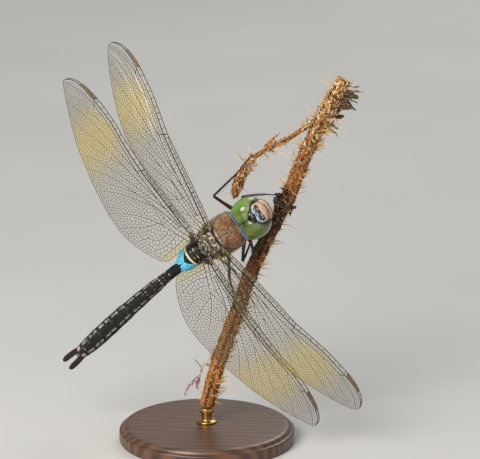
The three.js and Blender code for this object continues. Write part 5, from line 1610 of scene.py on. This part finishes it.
def wing(name, w, hinge, sweep, droop, side, seed):
    out = np.array([math.cos(math.radians(droop)) * math.cos(math.radians(sweep)),
                    side * math.cos(math.radians(droop)) * math.sin(math.radians(sweep)), -math.sin(math.radians(droop))])
    y = out * side
    x = unit(np.array([1.0, 0, 0]) - y * y[0])
    M = np.stack([x, y, np.cross(x, y)], 1)

    def place(s, c, z):
        q = np.stack([np.asarray(c, float), side * np.asarray(s, float), np.asarray(z, float)], -1)
        return body(q @ M.T + np.array(hinge))

    def sheet_into(b, s, c, z0, z1, mat=0, **fields):
        """a thin closed sheet between two heights over a grid of s, c"""
        ns, nc = s.shape
        n = ns * nc
        q = grid_faces(ns, nc, False)
        rim_i = np.concatenate([np.arange(nc), np.arange(1, ns) * nc + nc - 1, (ns - 1) * nc + np.arange(nc - 2, -1, -1), np.arange(ns - 2, 0, -1) * nc])
        rim_j = np.roll(rim_i, -1)
        rimq = np.stack([rim_i, rim_j, rim_j + n, rim_i + n], 1)
        if side < 0:
            q, rimq = q[:, ::-1], rimq[:, ::-1]
        V = np.vstack([place(s, c, z1).reshape(-1, 3), place(s, c, z0).reshape(-1, 3)])
        b.add(V, [q[:, ::-1], q + n, rimq], mat, **{k: (np.r_[v.ravel(), v.ravel()] if np.ndim(v) else v) for k, v in fields.items()})

    # ---- membrane
    b = Build()
    ns, nc = 190, 60
    s = np.linspace(w["start"], w["span"] - 0.03, ns)
    u = np.linspace(0, 1, nc) ** 1.25
    a, z = w["lead"](s), w["trail"](s)
    C = a[:, None] + (z - a)[:, None] * u[None]
    Sg = np.repeat(s[:, None], nc, 1)
    H = pleat(w, Sg, C)
    tt = Sg / w["span"]
    amber = np.clip(0.95 * hump(tt, 0.68, 0.17) * (0.45 + 0.55 * step(0.5, 3.0, a[:, None] - C)) + 0.8 * hump(tt, 0.0, 0.05), 0, 1)
    sheet_into(b, Sg, C, H - 0.011, H + 0.011, 0, amber=amber)
    b.make(name + "_membrane", [MEMBRANE], replaces=[name])

    # ---- veins
    v = Build()
    up = body(M[:, 2])

    def run(L, r0, r1, sides=7, costal=0.0, flat=0.85, lift=0.0):
        L = np.asarray(L, float)
        k = np.linspace(0, 1, len(L))
        path = place(L[:, 0], L[:, 1], pleat(w, L[:, 0], L[:, 1]) + lift)
        tube_into(v, path, r0 + (r1 - r0) * k, sides, 0, up, flat, costal=costal, wingroot=0.8 * step(4, 0, L[:, 0]))

    # leading edge: a yellow upper ridge on a dark, finely toothed vein
    sx = np.linspace(w["start"], w["span"], 200)
    k = np.linspace(0, 1, len(sx))
    nod = hump(sx, w["nodus"], 0.5)
    lead = np.stack([sx, w["lead"](sx) - 0.05 - 0.05 * nod], 1)
    hz = pleat(w, lead[:, 0], lead[:, 1])
    path = place(lead[:, 0], lead[:, 1], hz)
    tube_into(v, path, 0.135 - 0.055 * k, 10, 0, up, 0.9, costal=0.0, wingroot=0.0)
    ridge = place(lead[:, 0], lead[:, 1] - 0.02, hz + 0.07 - 0.03 * k)
    tube_into(v, ridge, 0.066 - 0.030 * k, 8, 0, up, 0.8, costal=(0.97 - 0.22 * k) * (0.6 + 0.4 * step(-0.2, 0.5, np.sin(sx * 5.2))), wingroot=0.0)
    tooth = resample(path, int(w["span"] / 0.26))[3:-3]
    back_ = resample(place(lead[:, 0], lead[:, 1] - 1.0, hz), int(w["span"] / 0.26))[3:-3]
    dirs = unit(unit(tooth - back_) + 0.35 * up)
    spikes_into(v, tooth + dirs * 0.04, tooth + dirs * 0.24, 0.062, 0, 4, costal=0.0, wingroot=0.0)
    sx = np.linspace(w["start"], w["span"], 170)
    run(np.stack([sx, w["trail"](sx) + 0.03], 1), 0.055, 0.05, 6)
    run(np.linspace([w["span"] - 0.02, float(w["lead"](w["span"]))], [w["span"] - 0.02, float(w["trail"](w["span"]))], 6), 0.06, 0.05, 6)
    run(np.linspace([w["start"], float(w["lead"](w["start"]))], [w["start"], float(w["trail"](w["start"]))], 14), 0.085, 0.055, 6)
    # subcosta, which ends in the nodus
    sn = np.linspace(w["start"], w["nodus"], 70)
    mid_c = lambda q: w["lead"](q) * 0.47 + near_edge(w, q) * 0.53
    close = step(w["nodus"] - 2.2, w["nodus"], sn)
    run(np.stack([sn, mid_c(sn) + (w["lead"](sn) - mid_c(sn)) * close], 1), 0.115, 0.075, 7, costal=0.15)
    # radius
    sr = np.linspace(w["start"], w["span"] - 0.25, 150)
    run(np.stack([sr, near_edge(w, sr)], 1), 0.165, 0.075, 8, flat=1.0, lift=0.02)
    for rr, line in w["veins"]:
        L = resample(curve(np.array(line), 16), max(int(9 * len(line)), 30)) if len(line) > 2 else resample(np.array(line, float), 8)
        L[:, 1] = np.maximum(L[:, 1], w["trail"](L[:, 0]) + 0.03)
        run(L, rr * (0.86 + 0.25 * step(6, 0, L[0, 0])), rr * 0.5, 7)

    seg_a, seg_b, rad = [], [], []

    def rung(s0, c0, s1, c1, rr):
        seg_a.append((s0, c0))
        seg_b.append((s1, c1))
        rad.append(rr)

    r = np.random.default_rng(seed + 5)
    n_ante = 18 if w is FORE else 12
    for k in range(n_ante):
        s0 = 1.6 + (w["nodus"] - 2.6) * (k + 0.15 * r.random()) / (n_ante - 1)
        thick = 0.105 if k in (1, 6 if w is FORE else 5) else 0.066
        jog = 0.0 if thick > 0.1 else r.uniform(-0.35, 0.35)
        rung(s0, float(w["lead"](s0)) - 0.05, s0 + 0.04, float(mid_c(s0)), thick)
        rung(s0 + 0.04 + jog, float(mid_c(s0 + jog)), s0 + 0.1 + jog, float(near_edge(w, s0 + jog)), thick)
    s0 = w["nodus"]
    rung(s0 - 0.1, float(w["lead"](s0)) - 0.05, s0 + 0.3, float(near_edge(w, s0 + 0.3)), 0.12)
    rung(s0 + 0.3, float(near_edge(w, s0 + 0.3)), s0 + 0.75, float(near_edge(w, s0 + 0.6)) - 0.75, 0.10)
    n_post = 9 if w is FORE else 10
    for k in range(n_post):
        s1 = w["nodus"] + 1.3 + (w["stigma"][0] - w["nodus"] - 2.1) * (k + 0.3 * r.random()) / (n_post - 1)
        rung(s1, float(w["lead"](s1)) - 0.05, s1 + 0.15, float(near_edge(w, s1 + 0.15)), 0.062)
    s1 = w["stigma"][1] + 0.75
    while s1 < w["span"] - 0.7:
        rung(s1, float(w["lead"](s1)) - 0.05, s1 + 0.1, float(near_edge(w, s1 + 0.1)), 0.052)
        s1 += 0.62
    # the strong brace below the stigma
    rung(w["stigma"][0] + 0.1, float(near_edge(w, w["stigma"][0])), w["stigma"][0] - 0.9, float(near_edge(w, w["stigma"][0] - 0.9)) - 0.9, 0.075)
    for p, q_ in cell_net(w, seed):
        t0 = (p[0] + q_[0]) / 2 / w["span"]
        rung(p[0], p[1], q_[0], q_[1], 0.044 - 0.012 * t0)
    A, Bq, rad = np.array(seg_a), np.array(seg_b), np.array(rad)
    pa = place(A[:, 0], A[:, 1], pleat(w, A[:, 0], A[:, 1]))
    pb = place(Bq[:, 0], Bq[:, 1], pleat(w, Bq[:, 0], Bq[:, 1]))
    d = unit(pb - pa)
    s_ = unit(np.cross(d, up))
    n_ = np.cross(s_, d)
    corners = [(1, 0), (0, 0.85), (-1, 0), (0, -0.85)]
    ring = np.stack([rad[:, None] * (ca * s_ + sa * n_) for ca, sa in corners], 1)
    V = np.concatenate([pa[:, None] - d[:, None] * 0.015 + ring, pb[:, None] + d[:, None] * 0.015 + ring], 1)
    quads = np.array([[i, 4 + i, 4 + (i + 1) % 4, (i + 1) % 4] for i in range(4)])
    caps = np.array([[0, 1, 2, 3], [7, 6, 5, 4]])
    F = (np.vstack([quads, caps])[None] + (np.arange(len(pa)) * 8)[:, None, None]).reshape(-1, 4)
    v.add(V.reshape(-1, 3), [F], 0, costal=0.0, wingroot=np.repeat(0.8 * step(4, 0, (A[:, 0] + Bq[:, 0]) / 2), 8))

    # ---- stigma: a filled, thickened cell
    s1, s2 = w["stigma"]
    sg = np.linspace(s1, s2, 40)[:, None] + 0.42 * np.linspace(0, 1, 9)[None]
    fa, fb_ = w["lead"](sg) - 0.10, near_edge(w, sg) + 0.12
    cg = fa + (fb_ - fa) * np.linspace(0, 1, 9)[None]
    hz = pleat(w, sg, cg)
    puff = 0.02 + 0.05 * np.sin(np.pi * np.linspace(0.03, 0.97, 9))[None] ** 0.5 * np.sin(np.pi * np.linspace(0.02, 0.98, 40))[:, None] ** 0.3
    sheet_into(v, sg, cg, hz - puff, hz + puff, 1, costal=0.0, wingroot=0.0)
    for e in (0, -1):
        run(np.stack([sg[e], cg[e]], 1), 0.075, 0.075, 6)
    # ---- membranule: a small pale flap at the rear of the root
    if w is HIND:
        sm = np.linspace(0, 1, 16)[:, None]
        cm = np.linspace(0, 1, 24)[None]
        cgm = -1.2 - 3.3 * cm + 0 * sm
        smm = w["start"] + 0.03 + (0.8 * (1 - cm) ** 0.6 + 0.04) * sm
        hz = pleat(w, smm, cgm)
        sheet_into(v, smm, cgm, hz - 0.03, hz + 0.03, 2, costal=0.0, wingroot=0.0)
    # ---- small hard plates where the wing meets the thorax
    plates = [(0.35, 0.42, 0.55, 0.95, 0.26, 25, 0.9), (-0.55, 0.30, 0.50, 0.75, 0.22, -20, 0.15), (0.05, 1.15, 0.24, 0.75, 0.16, 6, 0.75),
              (-0.75, 1.0, 0.20, 0.6, 0.13, -8, 0.1), (-1.25, 0.35, 0.34, 0.6, 0.16, -35, 0.6)]
    for cc_, cs, rx, ry, rz, tilt, tone in plates:
        Sb = ball(34, 44)
        q = np.abs(Sb) ** 0.72 * np.sign(Sb)
        q = q * [rx, ry, rz * 0.62]
        dents = 0.34 * noise(q, 1.5, int(seed + cc_ * 8)) + 0.13 * noise(q, 4.2, int(seed + cs * 6))
        q = q * (1 + dents.reshape(Sb.shape[:2]))[..., None]
        top_ = np.clip(Sb[..., 2], 0, 1)
        q[..., 2] += top_ * (0.11 * np.exp(-(q[..., 0] / (0.22 * rx)) ** 2) - 0.05 * np.exp(-((q[..., 0] - 0.5 * rx) / (0.16 * rx)) ** 2))
        ca, sa = math.cos(math.radians(tilt)), math.sin(math.radians(tilt))
        qx, qy = q[..., 0] * ca - q[..., 1] * sa, q[..., 0] * sa + q[..., 1] * ca
        qz = q[..., 2] + 0.05 * noise(q, 3.0, int(seed + cs * 10)).reshape(q.shape[:2])
        h0 = float(pleat(w, 0.8, cc_))
        Q = np.stack([cc_ + qx, side * (cs + qy), h0 + qz], -1)
        # pale on the crest of each plate's upper face is a painted highlight; the noise adds pale mottling
        loft_into(v, body(Q @ M.T + np.array(hinge)), 0, True, side > 0, costal=np.clip(0.75 * tone * (top_ * np.exp(-(q[..., 0] / (0.28 * rx)) ** 2) + 0.5 * noise(q, 5.0, 8).reshape(q.shape[:2])) - 0.05, 0, 0.75), wingroot=0.55)
    v.make(name + "_veins", [VEIN, STIGMA, FLAP])


for k, (name, (w, hinge, sweep, droop, side)) in enumerate(WINGS.items()):
    wing(name, w, hinge, sweep, droop, side, 40 + k)

# ------------------------------------------------------------------ perch

def stalk(b, line, radius, rows, around, ridges, seed, amp, shade=None, weather=None):
    L = resample(line, rows)
    t, s, n = frames(L, (0, -1, 0))
    phi = np.linspace(0, 2 * np.pi, around, endpoint=False)
    u = np.linspace(0, 1, rows)
    r = radius(u)
    twist = 0.5 * u + 0.15 * np.sin(7 * u)
    A = phi[None] + twist[:, None]
    length = np.linalg.norm(L[-1] - L[0])
    cyl = np.stack([np.cos(A) * 1.6, np.sin(A) * 1.6, (u * length)[:, None] * 0.12 + 0 * A], -1)
    fib = noise(cyl * 2.4, 1.0, seed).reshape(A.shape) * 0.6 + noise(cyl * [6, 6, 2.0], 1.0, seed + 1).reshape(A.shape) * 0.4
    g = np.cos(ridges * A)
    knob = np.clip(noise(cyl * [5, 5, 3.0], 1.0, seed + 2).reshape(A.shape) - 0.25, 0, 1)
    hgt = amp * (0.70 * g + 0.75 * fib) + 0.30 * knob
    nodes_ = np.zeros(rows)
    for c_ in np.linspace(0.07, 0.95, int(length / 8) + 2):
        nodes_ += 0.10 * hump(u, c_, 0.008)
    P = L[:, None] + (r[:, None] * (1 + nodes_[:, None]) + hgt)[..., None] * (np.cos(phi)[None, :, None] * s[:, None] + np.sin(phi)[None, :, None] * n[:, None])
    groove = np.clip(-0.5 * g - 0.55 * fib, 0, 1) * 1.6
    dark = np.clip(noise(P, 0.09, seed + 4).reshape(A.shape) * 0.9 + 0.02, 0, 1)
    # shade(u) adds painted shadow bands along the stem
    dark = np.clip(dark + (shade(u) if shade else 0 * u)[:, None], 0, 1)
    pale = (weather(u) if weather else 0.7 + 0 * u)[:, None] + 0 * A
    sun = (step(0.36, 0.12, u) if weather else 0 * u)[:, None] + 0 * A
    # cut ends: the bark turns in over a shallow dish of pith
    def end(e, sign):
        ring = P[e]
        mid = ring.mean(0)
        out = t[e] * sign
        rings = [mid + (ring - mid) * k_ + out * d_ for k_, d_ in ((0.97, 0.05), (0.88, 0.07), (0.8, 0.02), (0.72, -0.10), (0.5, -0.14), (0.28, -0.06), (0.22, -0.22), (0.05, -0.25))]
        return np.stack(rings), np.repeat(np.array([0.1, 0.5, 0.9, 1.0, 1.0, 0.7, 0.1, 0.0])[:, None], P.shape[1], 1)
    first, pf = end(0, -1)
    last, pl = end(-1, 1)
    k_ = len(first)
    pad = lambda a, v=0.0: np.vstack([np.full((k_, around), v), a, np.full((k_, around), v)])
    loft_into(b, np.concatenate([first[::-1], P, last]), 0, True, False, groove=pad(groove), soil=pad(dark), weather=pad(pale), sunned=pad(sun), pith=np.vstack([pf[::-1], 0 * groove, pl]))
    return L, t, s, n, r


stem = Build()
# the shade humps are painted shadow of the insect and its wings on the stem's middle; the last lambda is how weathered
# the bark is
L1, t1, s1, n1, r1 = stalk(stem, stem_line, lambda u: STEM_R - 0.02 - 0.12 * u + 0 * u, 760, 110, 5, 21, 0.11, lambda u: 0.80 * hump(u, 0.475, 0.07) + 0.40 * hump(u, 0.36, 0.06) + 0.9 * hump(u, 0.61, 0.045) + 0.35 * hump(u, 0.75, 0.04) + 0.1 * hump(u, 0.26, 0.05),
                           lambda u: 0.15 + 0.85 * step(0.72, 0.90, u) + 0.25 * step(0.08, 0.0, u))
stem.make("stem_bark", [STEM], replaces=["perch_stem"])
twig = Build()
L2, t2, s2, n2, r2 = stalk(twig, twig_line, lambda u: np.maximum(TWIG_RADIUS(u) - 0.08, 0.2) * (0.35 + 0.65 * step(1.0, 0.96, u)), 360, 48, 4, 31, 0.06)
twig.make("twig_bark", [STEM], replaces=["perch_twig"])


def spines(b, L, t, s, n, r, count, lo, hi, seed, clusters, radius=0.09, keep=None):
    g = np.random.default_rng(seed)
    centres = np.sort(g.uniform(0.02, 0.98, clusters))
    where_, ang = [], []
    for c_ in centres:
        k = g.integers(2, 6)
        a0 = g.uniform(0, 2 * np.pi)
        where_.extend(np.clip(c_ + g.normal(0, 0.006, k), 0.005, 0.995))
        ang.extend(a0 + g.normal(0, 0.55, k))
    while len(where_) < count:
        where_.append(g.uniform(0.01, 0.99))
        ang.append(g.uniform(0, 2 * np.pi))
    where_, ang = np.array(where_), np.array(ang)
    i = np.clip((where_ * (len(L) - 1)).astype(int), 0, len(L) - 1)
    out = np.cos(ang)[:, None] * s[i] + np.sin(ang)[:, None] * n[i]
    if keep is not None:
        ok = keep(L[i], out)
        i, out, ang = i[ok], out[ok], ang[ok]
    m = len(i)
    d = unit(out + t[i] * g.uniform(-0.15, 0.75, m)[:, None] + g.normal(0, 0.18, (m, 3)))
    length = lo + (hi - lo) * g.random(m) ** 1.2
    root = L[i] + out * (r[i] * 0.93)[:, None]
    tip = root + d * length[:, None]
    bend = t[i] * (length * g.uniform(-0.05, 0.10, m))[:, None]
    for k in range(m):
        path = curve([root[k], (root[k] + tip[k]) / 2 + bend[k], tip[k]], 5)
        path = resample(path, 7)
        u = np.linspace(0, 1, 7)
        rad = radius * (0.55 + 0.45 * length[k] / hi) * (1 - u) ** 0.8 + 0.012
        rad[0] *= 2.2
        tube_into(b, path, rad, 6, 0, (0.2, 0.3, 1), bleach=u)


def away_from_insect(p, out):
    """no long spine through the head, thorax or legs"""
    q = unbody(p + out * 2.2)
    near = (q[:, 0] > -2) & (q[:, 0] < 19) & (np.abs(q[:, 1]) < 7) & (q[:, 2] > -13)
    return ~near


def bristles(b, L, t, s, n, r, count, lo, hi, seed):
    g = np.random.default_rng(seed)
    i = g.integers(4, len(L) - 4, count)
    ang = g.uniform(0, 2 * np.pi, count)
    out = np.cos(ang)[:, None] * s[i] + np.sin(ang)[:, None] * n[i]
    d = unit(out + t[i] * g.uniform(-0.3, 0.8, count)[:, None] + g.normal(0, 0.25, (count, 3)))
    length = lo + (hi - lo) * g.random(count) ** 1.6
    root = L[i] + out * (r[i] * 0.93)[:, None] + t[i] * g.uniform(-0.05, 0.05, count)[:, None]
    spikes_into(b, root, root + d * length[:, None], 0.05 + 0.04 * g.random(count), 0, 4, bleach=0.35 + 0.65 * g.random(count))


sp = Build()
spines(sp, L1, t1, s1, n1, r1, 250, 1.5, 5.0, 5, 50, 0.13, away_from_insect)
spines(sp, L2, t2, s2, n2, r2, 60, 0.8, 3.6, 6, 10, 0.08, lambda p, o: np.ones(len(p), bool) & (unbody(p)[:, 0] > -5) & ~((p[:, 1] + o[:, 1] * 2 < 8.6)))
bristles(sp, L1, t1, s1, n1, r1, 2400, 0.35, 1.5, 7)
bristles(sp, L2, t2, s2, n2, np.minimum(r2, 1.3), 520, 0.25, 0.9, 8)
sp.make("perch_spines", [STRAW])


def scrap(b, g, root, d, o, length, wide, dead, plum, crumple, bent=None, along=None):
    """one thin dead leaf, curled and crumpled, closed all round"""
    side = unit(np.cross(d, o))
    nrm = np.cross(side, d)
    rows = 22
    u = np.linspace(0, 1, rows)
    curl = bent or g.uniform(0.25, 0.95) * (1 + crumple)
    path = root + d * (length * np.sin(u * curl) / curl)[:, None] - nrm * (length * (1 - np.cos(u * curl)) / curl * g.choice([-1, 1]))[:, None]
    path += side * (0.12 * length * np.sin(3 * u + g.uniform(0, 6)) * u)[:, None]
    if along is not None:
        path = resample(curve(root + np.array(along, float), 12), rows)
    w_ = wide * np.sin(np.pi * np.clip(u * 0.92 + 0.08, 0, 1)) ** 0.7 * (1 - 0.3 * u) + 0.02
    w_ = w_ * (1 + crumple * 0.45 * np.sin(u * g.uniform(14, 24) + g.uniform(0, 6)))
    t_, s_, n_ = frames(path, nrm)
    phi = np.linspace(0, 2 * np.pi, 16, endpoint=False)
    fold = g.uniform(0.15, 0.5) * np.abs(np.cos(phi)) * w_[:, None]
    P = path[:, None] + (w_[:, None] * np.cos(phi)[None])[..., None] * s_[:, None] + ((0.045 * np.sin(phi))[None] + fold)[..., None] * n_[:, None]
    wave = noise(P * [1, 1, 1], 1.6, int(g.integers(1, 60))).reshape(P.shape[:2])
    P += (0.05 + 0.45 * crumple * wide) * wave[..., None] * n_[:, None] * step(0, 0.15, u)[:, None, None]
    loft_into(b, P, 0, True, False, dead=dead, plum=plum)


def dead_leaves(b, seed):
    g = np.random.default_rng(seed)

    def on(L, s, n, r, at, ang, into=0.85):
        i = int(np.clip(at, 0, 1) * (len(L) - 1))
        o = math.cos(ang) * s[i] + math.sin(ang) * n[i]
        return L[i] + o * min(r[i], 1.75) * into, o, i

    # toward a side of the picture: 0 right, 90 to the camera, 180 left
    def angle(s, n, i, deg):
        want = np.array([math.cos(math.radians(deg)), -math.sin(math.radians(deg)), 0.0])
        return math.atan2(n[i] @ want, s[i] @ want)

    def cluster(L, t, s, n, r, at, deg, count, length, wide, dead, plum=0.0, crumple=0.3, rise=(0.1, 0.9), spread=0.5):
        for _ in range(count):
            a_ = at + g.normal(0, 0.007)
            i = int(np.clip(a_, 0, 1) * (len(L) - 1))
            ang = angle(s, n, i, deg) + g.normal(0, spread)
            root, o, i = on(L, s, n, r, a_, ang)
            d = unit(o + t[i] * g.uniform(*rise) + g.normal(0, 0.15, 3))
            scrap(b, g, root, d, o, length * g.uniform(0.6, 1.15), wide * g.uniform(0.7, 1.2), float(np.clip(dead + g.normal(0, 0.12), 0, max(1.0, dead))), plum, crumple)

    S1 = (L1, t1, s1, n1, r1)
    T2 = (L2, t2, s2, n2, r2)
    # pale tufts at the old leaf scars
    for at, deg in ((0.985, 20), (0.93, 190), (0.90, 30), (0.865, 170), (0.845, 20), (0.80, 10), (0.74, 185), (0.71, 0), (0.315, 170), (0.26, 20), (0.18, 0), (0.12, 175), (0.06, 10)):
        cluster(*S1, at, deg, 8, 2.3, 0.36, 0.06, 0.0, 0.3, (0.2, 1.2), 0.55)
    for at, deg, k_ in ((0.015, 150, 6), (0.05, 110, 7), (0.09, 170, 6), (0.14, 120, 4)):
        cluster(*T2, at, deg, k_, 1.7, 0.26, 0.04, 0.0, 0.3, (-0.9, 0.9), 0.7)
    for at, deg in ((0.88, 175), (0.835, 150), (0.915, 160), (0.775, 140)):
        cluster(*S1, at, deg, 7, 1.9, 0.36, 0.04, 0.0, 0.35, (0.0, 1.0), 0.6)
    # dark shrivelled leaves on the right, high up, and behind the face
    for at, deg, k_ in ((0.975, -8, 4), (0.955, 5, 5), (0.93, 0, 5), (0.90, -12, 4), (0.87, 5, 3)):
        cluster(*S1, at, deg, k_, 4.6, 0.85, 0.9, 0.0, 0.4, (-0.1, 0.9), 0.4)
    cluster(*S1, 0.60, -20, 4, 2.6, 0.6, 0.9, 0.0, 0.5, (-0.3, 0.5), 0.4)
    for at, deg, k_ in ((0.655, 150, 5), (0.64, 135, 7), (0.625, 160, 8), (0.61, 130, 8), (0.595, 150, 8), (0.58, 140, 6), (0.565, 150, 4)):
        cluster(*S1, at, deg, k_, 1.8, 0.55, 2.0, 0.0, 0.5, (-0.5, 0.7), 0.5)
    # one long plum-coloured withered leaf on a kinked stalk, low on the left
    root, o, i = on(L1, s1, n1, r1, 0.108, angle(s1, n1, int(0.108 * (len(L1) - 1)), 182))
    front = np.array([0, -1.0, 0.0])
    out = np.array([-1.0, 0.0, 0.0])
    down = np.array([-0.4, 0.05, -0.92])
    scrap(b, g, root, out, front, 2.0, 0.20, 0.45, 0.0, 0.2, 0.3, [[0.35, 0, -0.1], [-0.8, -0.1, 0.55], [-1.6, -0.2, 1.18]])
    scrap(b, g, root, down, front, 4.0, 0.11, 0.7, 0.2, 0.1, 0.3, [[-1.45, -0.2, 1.15], [-1.9, -0.3, 0.4], [-2.1, -0.3, -0.9], [-2.5, -0.3, -2.1]])
    scrap(b, g, root, down, front, 5.2, 0.12, 0.75, 0.3, 0.1, 0.3, [[-3.96, -0.1, 2.14], [-3.2, -0.2, 1.3], [-2.46, -0.3, 0.3], [-2.4, -0.4, -0.5], [-2.8, -0.4, -2.2]])
    scrap(b, g, root, down, front, 7.0, 0.50, 0.30, 1.0, 0.18, 0.25, [[-2.6, -0.35, -1.8], [-3.9, -0.5, -3.2], [-5.2, -0.5, -4.7], [-5.9, -0.4, -6.0], [-6.3, -0.2, -7.4]])
    scrap(b, g, root, down, front, 4.2, 0.48, 0.75, 0.45, 0.35, 0.5, [[-2.6, -0.25, -1.9], [-3.0, -0.2, -3.4], [-3.3, -0.1, -4.7], [-2.95, 0.1, -5.7]])
    # twig: a spray of orange-brown bracts at its bend, a collar over the bud
    for at, deg, k_, ln in ((0.395, 110, 3, 4.0), (0.43, 200, 3, 2.4), (0.47, 80, 3, 2.6), (0.52, -20, 2, 2.2)):
        cluster(*T2, at, deg, k_, ln, 0.26, 0.35, -0.7, 0.15, (-1.2, -0.3), 0.5)
    for at, deg, k_ in ((0.60, 160, 2), (0.66, 20, 3), (0.70, 0, 3), (0.73, 40, 2), (0.80, 200, 2)):
        cluster(*T2, at, deg, k_, 1.9, 0.42, 0.5, 0.0, 0.4, (-0.3, 0.9), 0.6)

    # the long bracts and hairs at the twig's bend, each rooted in the twig
    hub = L2[-1] + np.array([6.65, 0.0, 12.1])
    for pts, wide, dead in (
            ([(0.0, 0.0), (0.73, 0.98), (1.96, 2.33), (3.2, 3.4), (4.4, 4.5)], 0.36, 0.50),
            ([(-0.2, -0.2), (1.0, 0.7), (1.96, 1.6), (2.7, 2.7), (3.4, 3.6)], 0.22, 0.60),
            ([(-0.5, -0.3), (1.0, 0.55), (2.4, 0.8), (3.7, 1.0)], 0.26, 0.45),
            ([(0.2, -0.2), (1.7, 0.0), (3.2, -0.35), (4.1, -0.7)], 0.20, 0.75),
            ([(2.2, 0.3), (3.4, -0.4), (4.9, -0.7), (6.6, -0.6), (7.4, -1.5)], 0.07, 0.0),
            ([(0.0, -0.4), (1.2, -1.8), (2.7, -3.2)], 0.09, 0.0),
            ([(-3.9, -2.45), (-3.3, -0.5), (-2.7, 1.6)], 0.13, 0.15),
            ([(-5.0, -2.6), (-5.4, -1.35), (-5.75, -0.25)], 0.11, 0.5),
            ([(-4.5, -2.45), (-4.55, -1.4), (-4.6, -0.4)], 0.09, 0.0)):
        P = hub + np.array([[x, 0.0, z] for x, z in pts])
        i = int(np.argmin(np.linalg.norm(L2[:, ::2] - P[0, ::2], axis=1)))
        P[:, 1] = L2[i, 1] - 0.3
        P[0] = L2[i]
        scrap(b, g, P[0], unit(P[-1] - P[0]), front, 3.0, wide, dead, -0.9 if wide > 0.15 else 0.0, 0.12, 0.3, P - P[0])


lf = Build()
dead_leaves(lf, 17)
lf.make("dead_leaves", [DRY])

# ------------------------------------------------------------------ stand

def lathe(b, rows, centre_xy, z0, around=160):
    phi = np.linspace(0, 2 * np.pi, around, endpoint=False)
    R = np.array(rows, float)
    P = np.stack([centre_xy[0] + R[:, 0:1] * np.cos(phi)[None], centre_xy[1] + R[:, 0:1] * np.sin(phi)[None], z0 + R[:, 1:2] * np.ones(around)[None]], -1)
    loft_into(b, P, 0, True, False)


bs = Build()
edge = [(20.3, 0.0), (20.75, 0.12), (20.95, 0.45), (20.98, 0.9), (20.98, 2.6), (20.9, 2.85), (20.65, 3.0), (20.35, 3.06),
        (20.2, 3.16), (20.12, 3.35), (19.95, 3.7), (19.55, 3.93), (19.0, 4.0)]
rows = [(r_, 0.0) for r_ in np.linspace(0.5, 19.5, 12)] + edge + [(r_, 4.0) for r_ in np.linspace(18, 0.5, 16)]
lathe(bs, rows, BASE_CENTRE, BASE_UNDER)
bs.make("base_turned", [WOOD], replaces=["stand_base"], smooth=True)

rd = Build()
foot = STEM_PATH[0]
zr = BASE_UNDER + 4.0
rows = [(0.2, -0.02), (2.3, -0.02), (2.42, 0.06), (2.42, 0.42), (2.3, 0.55), (1.5, 0.6), (1.28, 0.75), (1.24, 1.0), (1.24, 2.3), (1.3, 2.42),
        (1.55, 2.5), (1.7, 2.62), (1.75, 2.9), (1.75, 3.6), (1.68, 3.72), (1.3, 3.78), (0.2, 3.8)]
lathe(rd, rows, (foot[0], foot[1]), zr, 96)
rd.make("rod_turned", [BRASS], replaces=["stand_rod"])
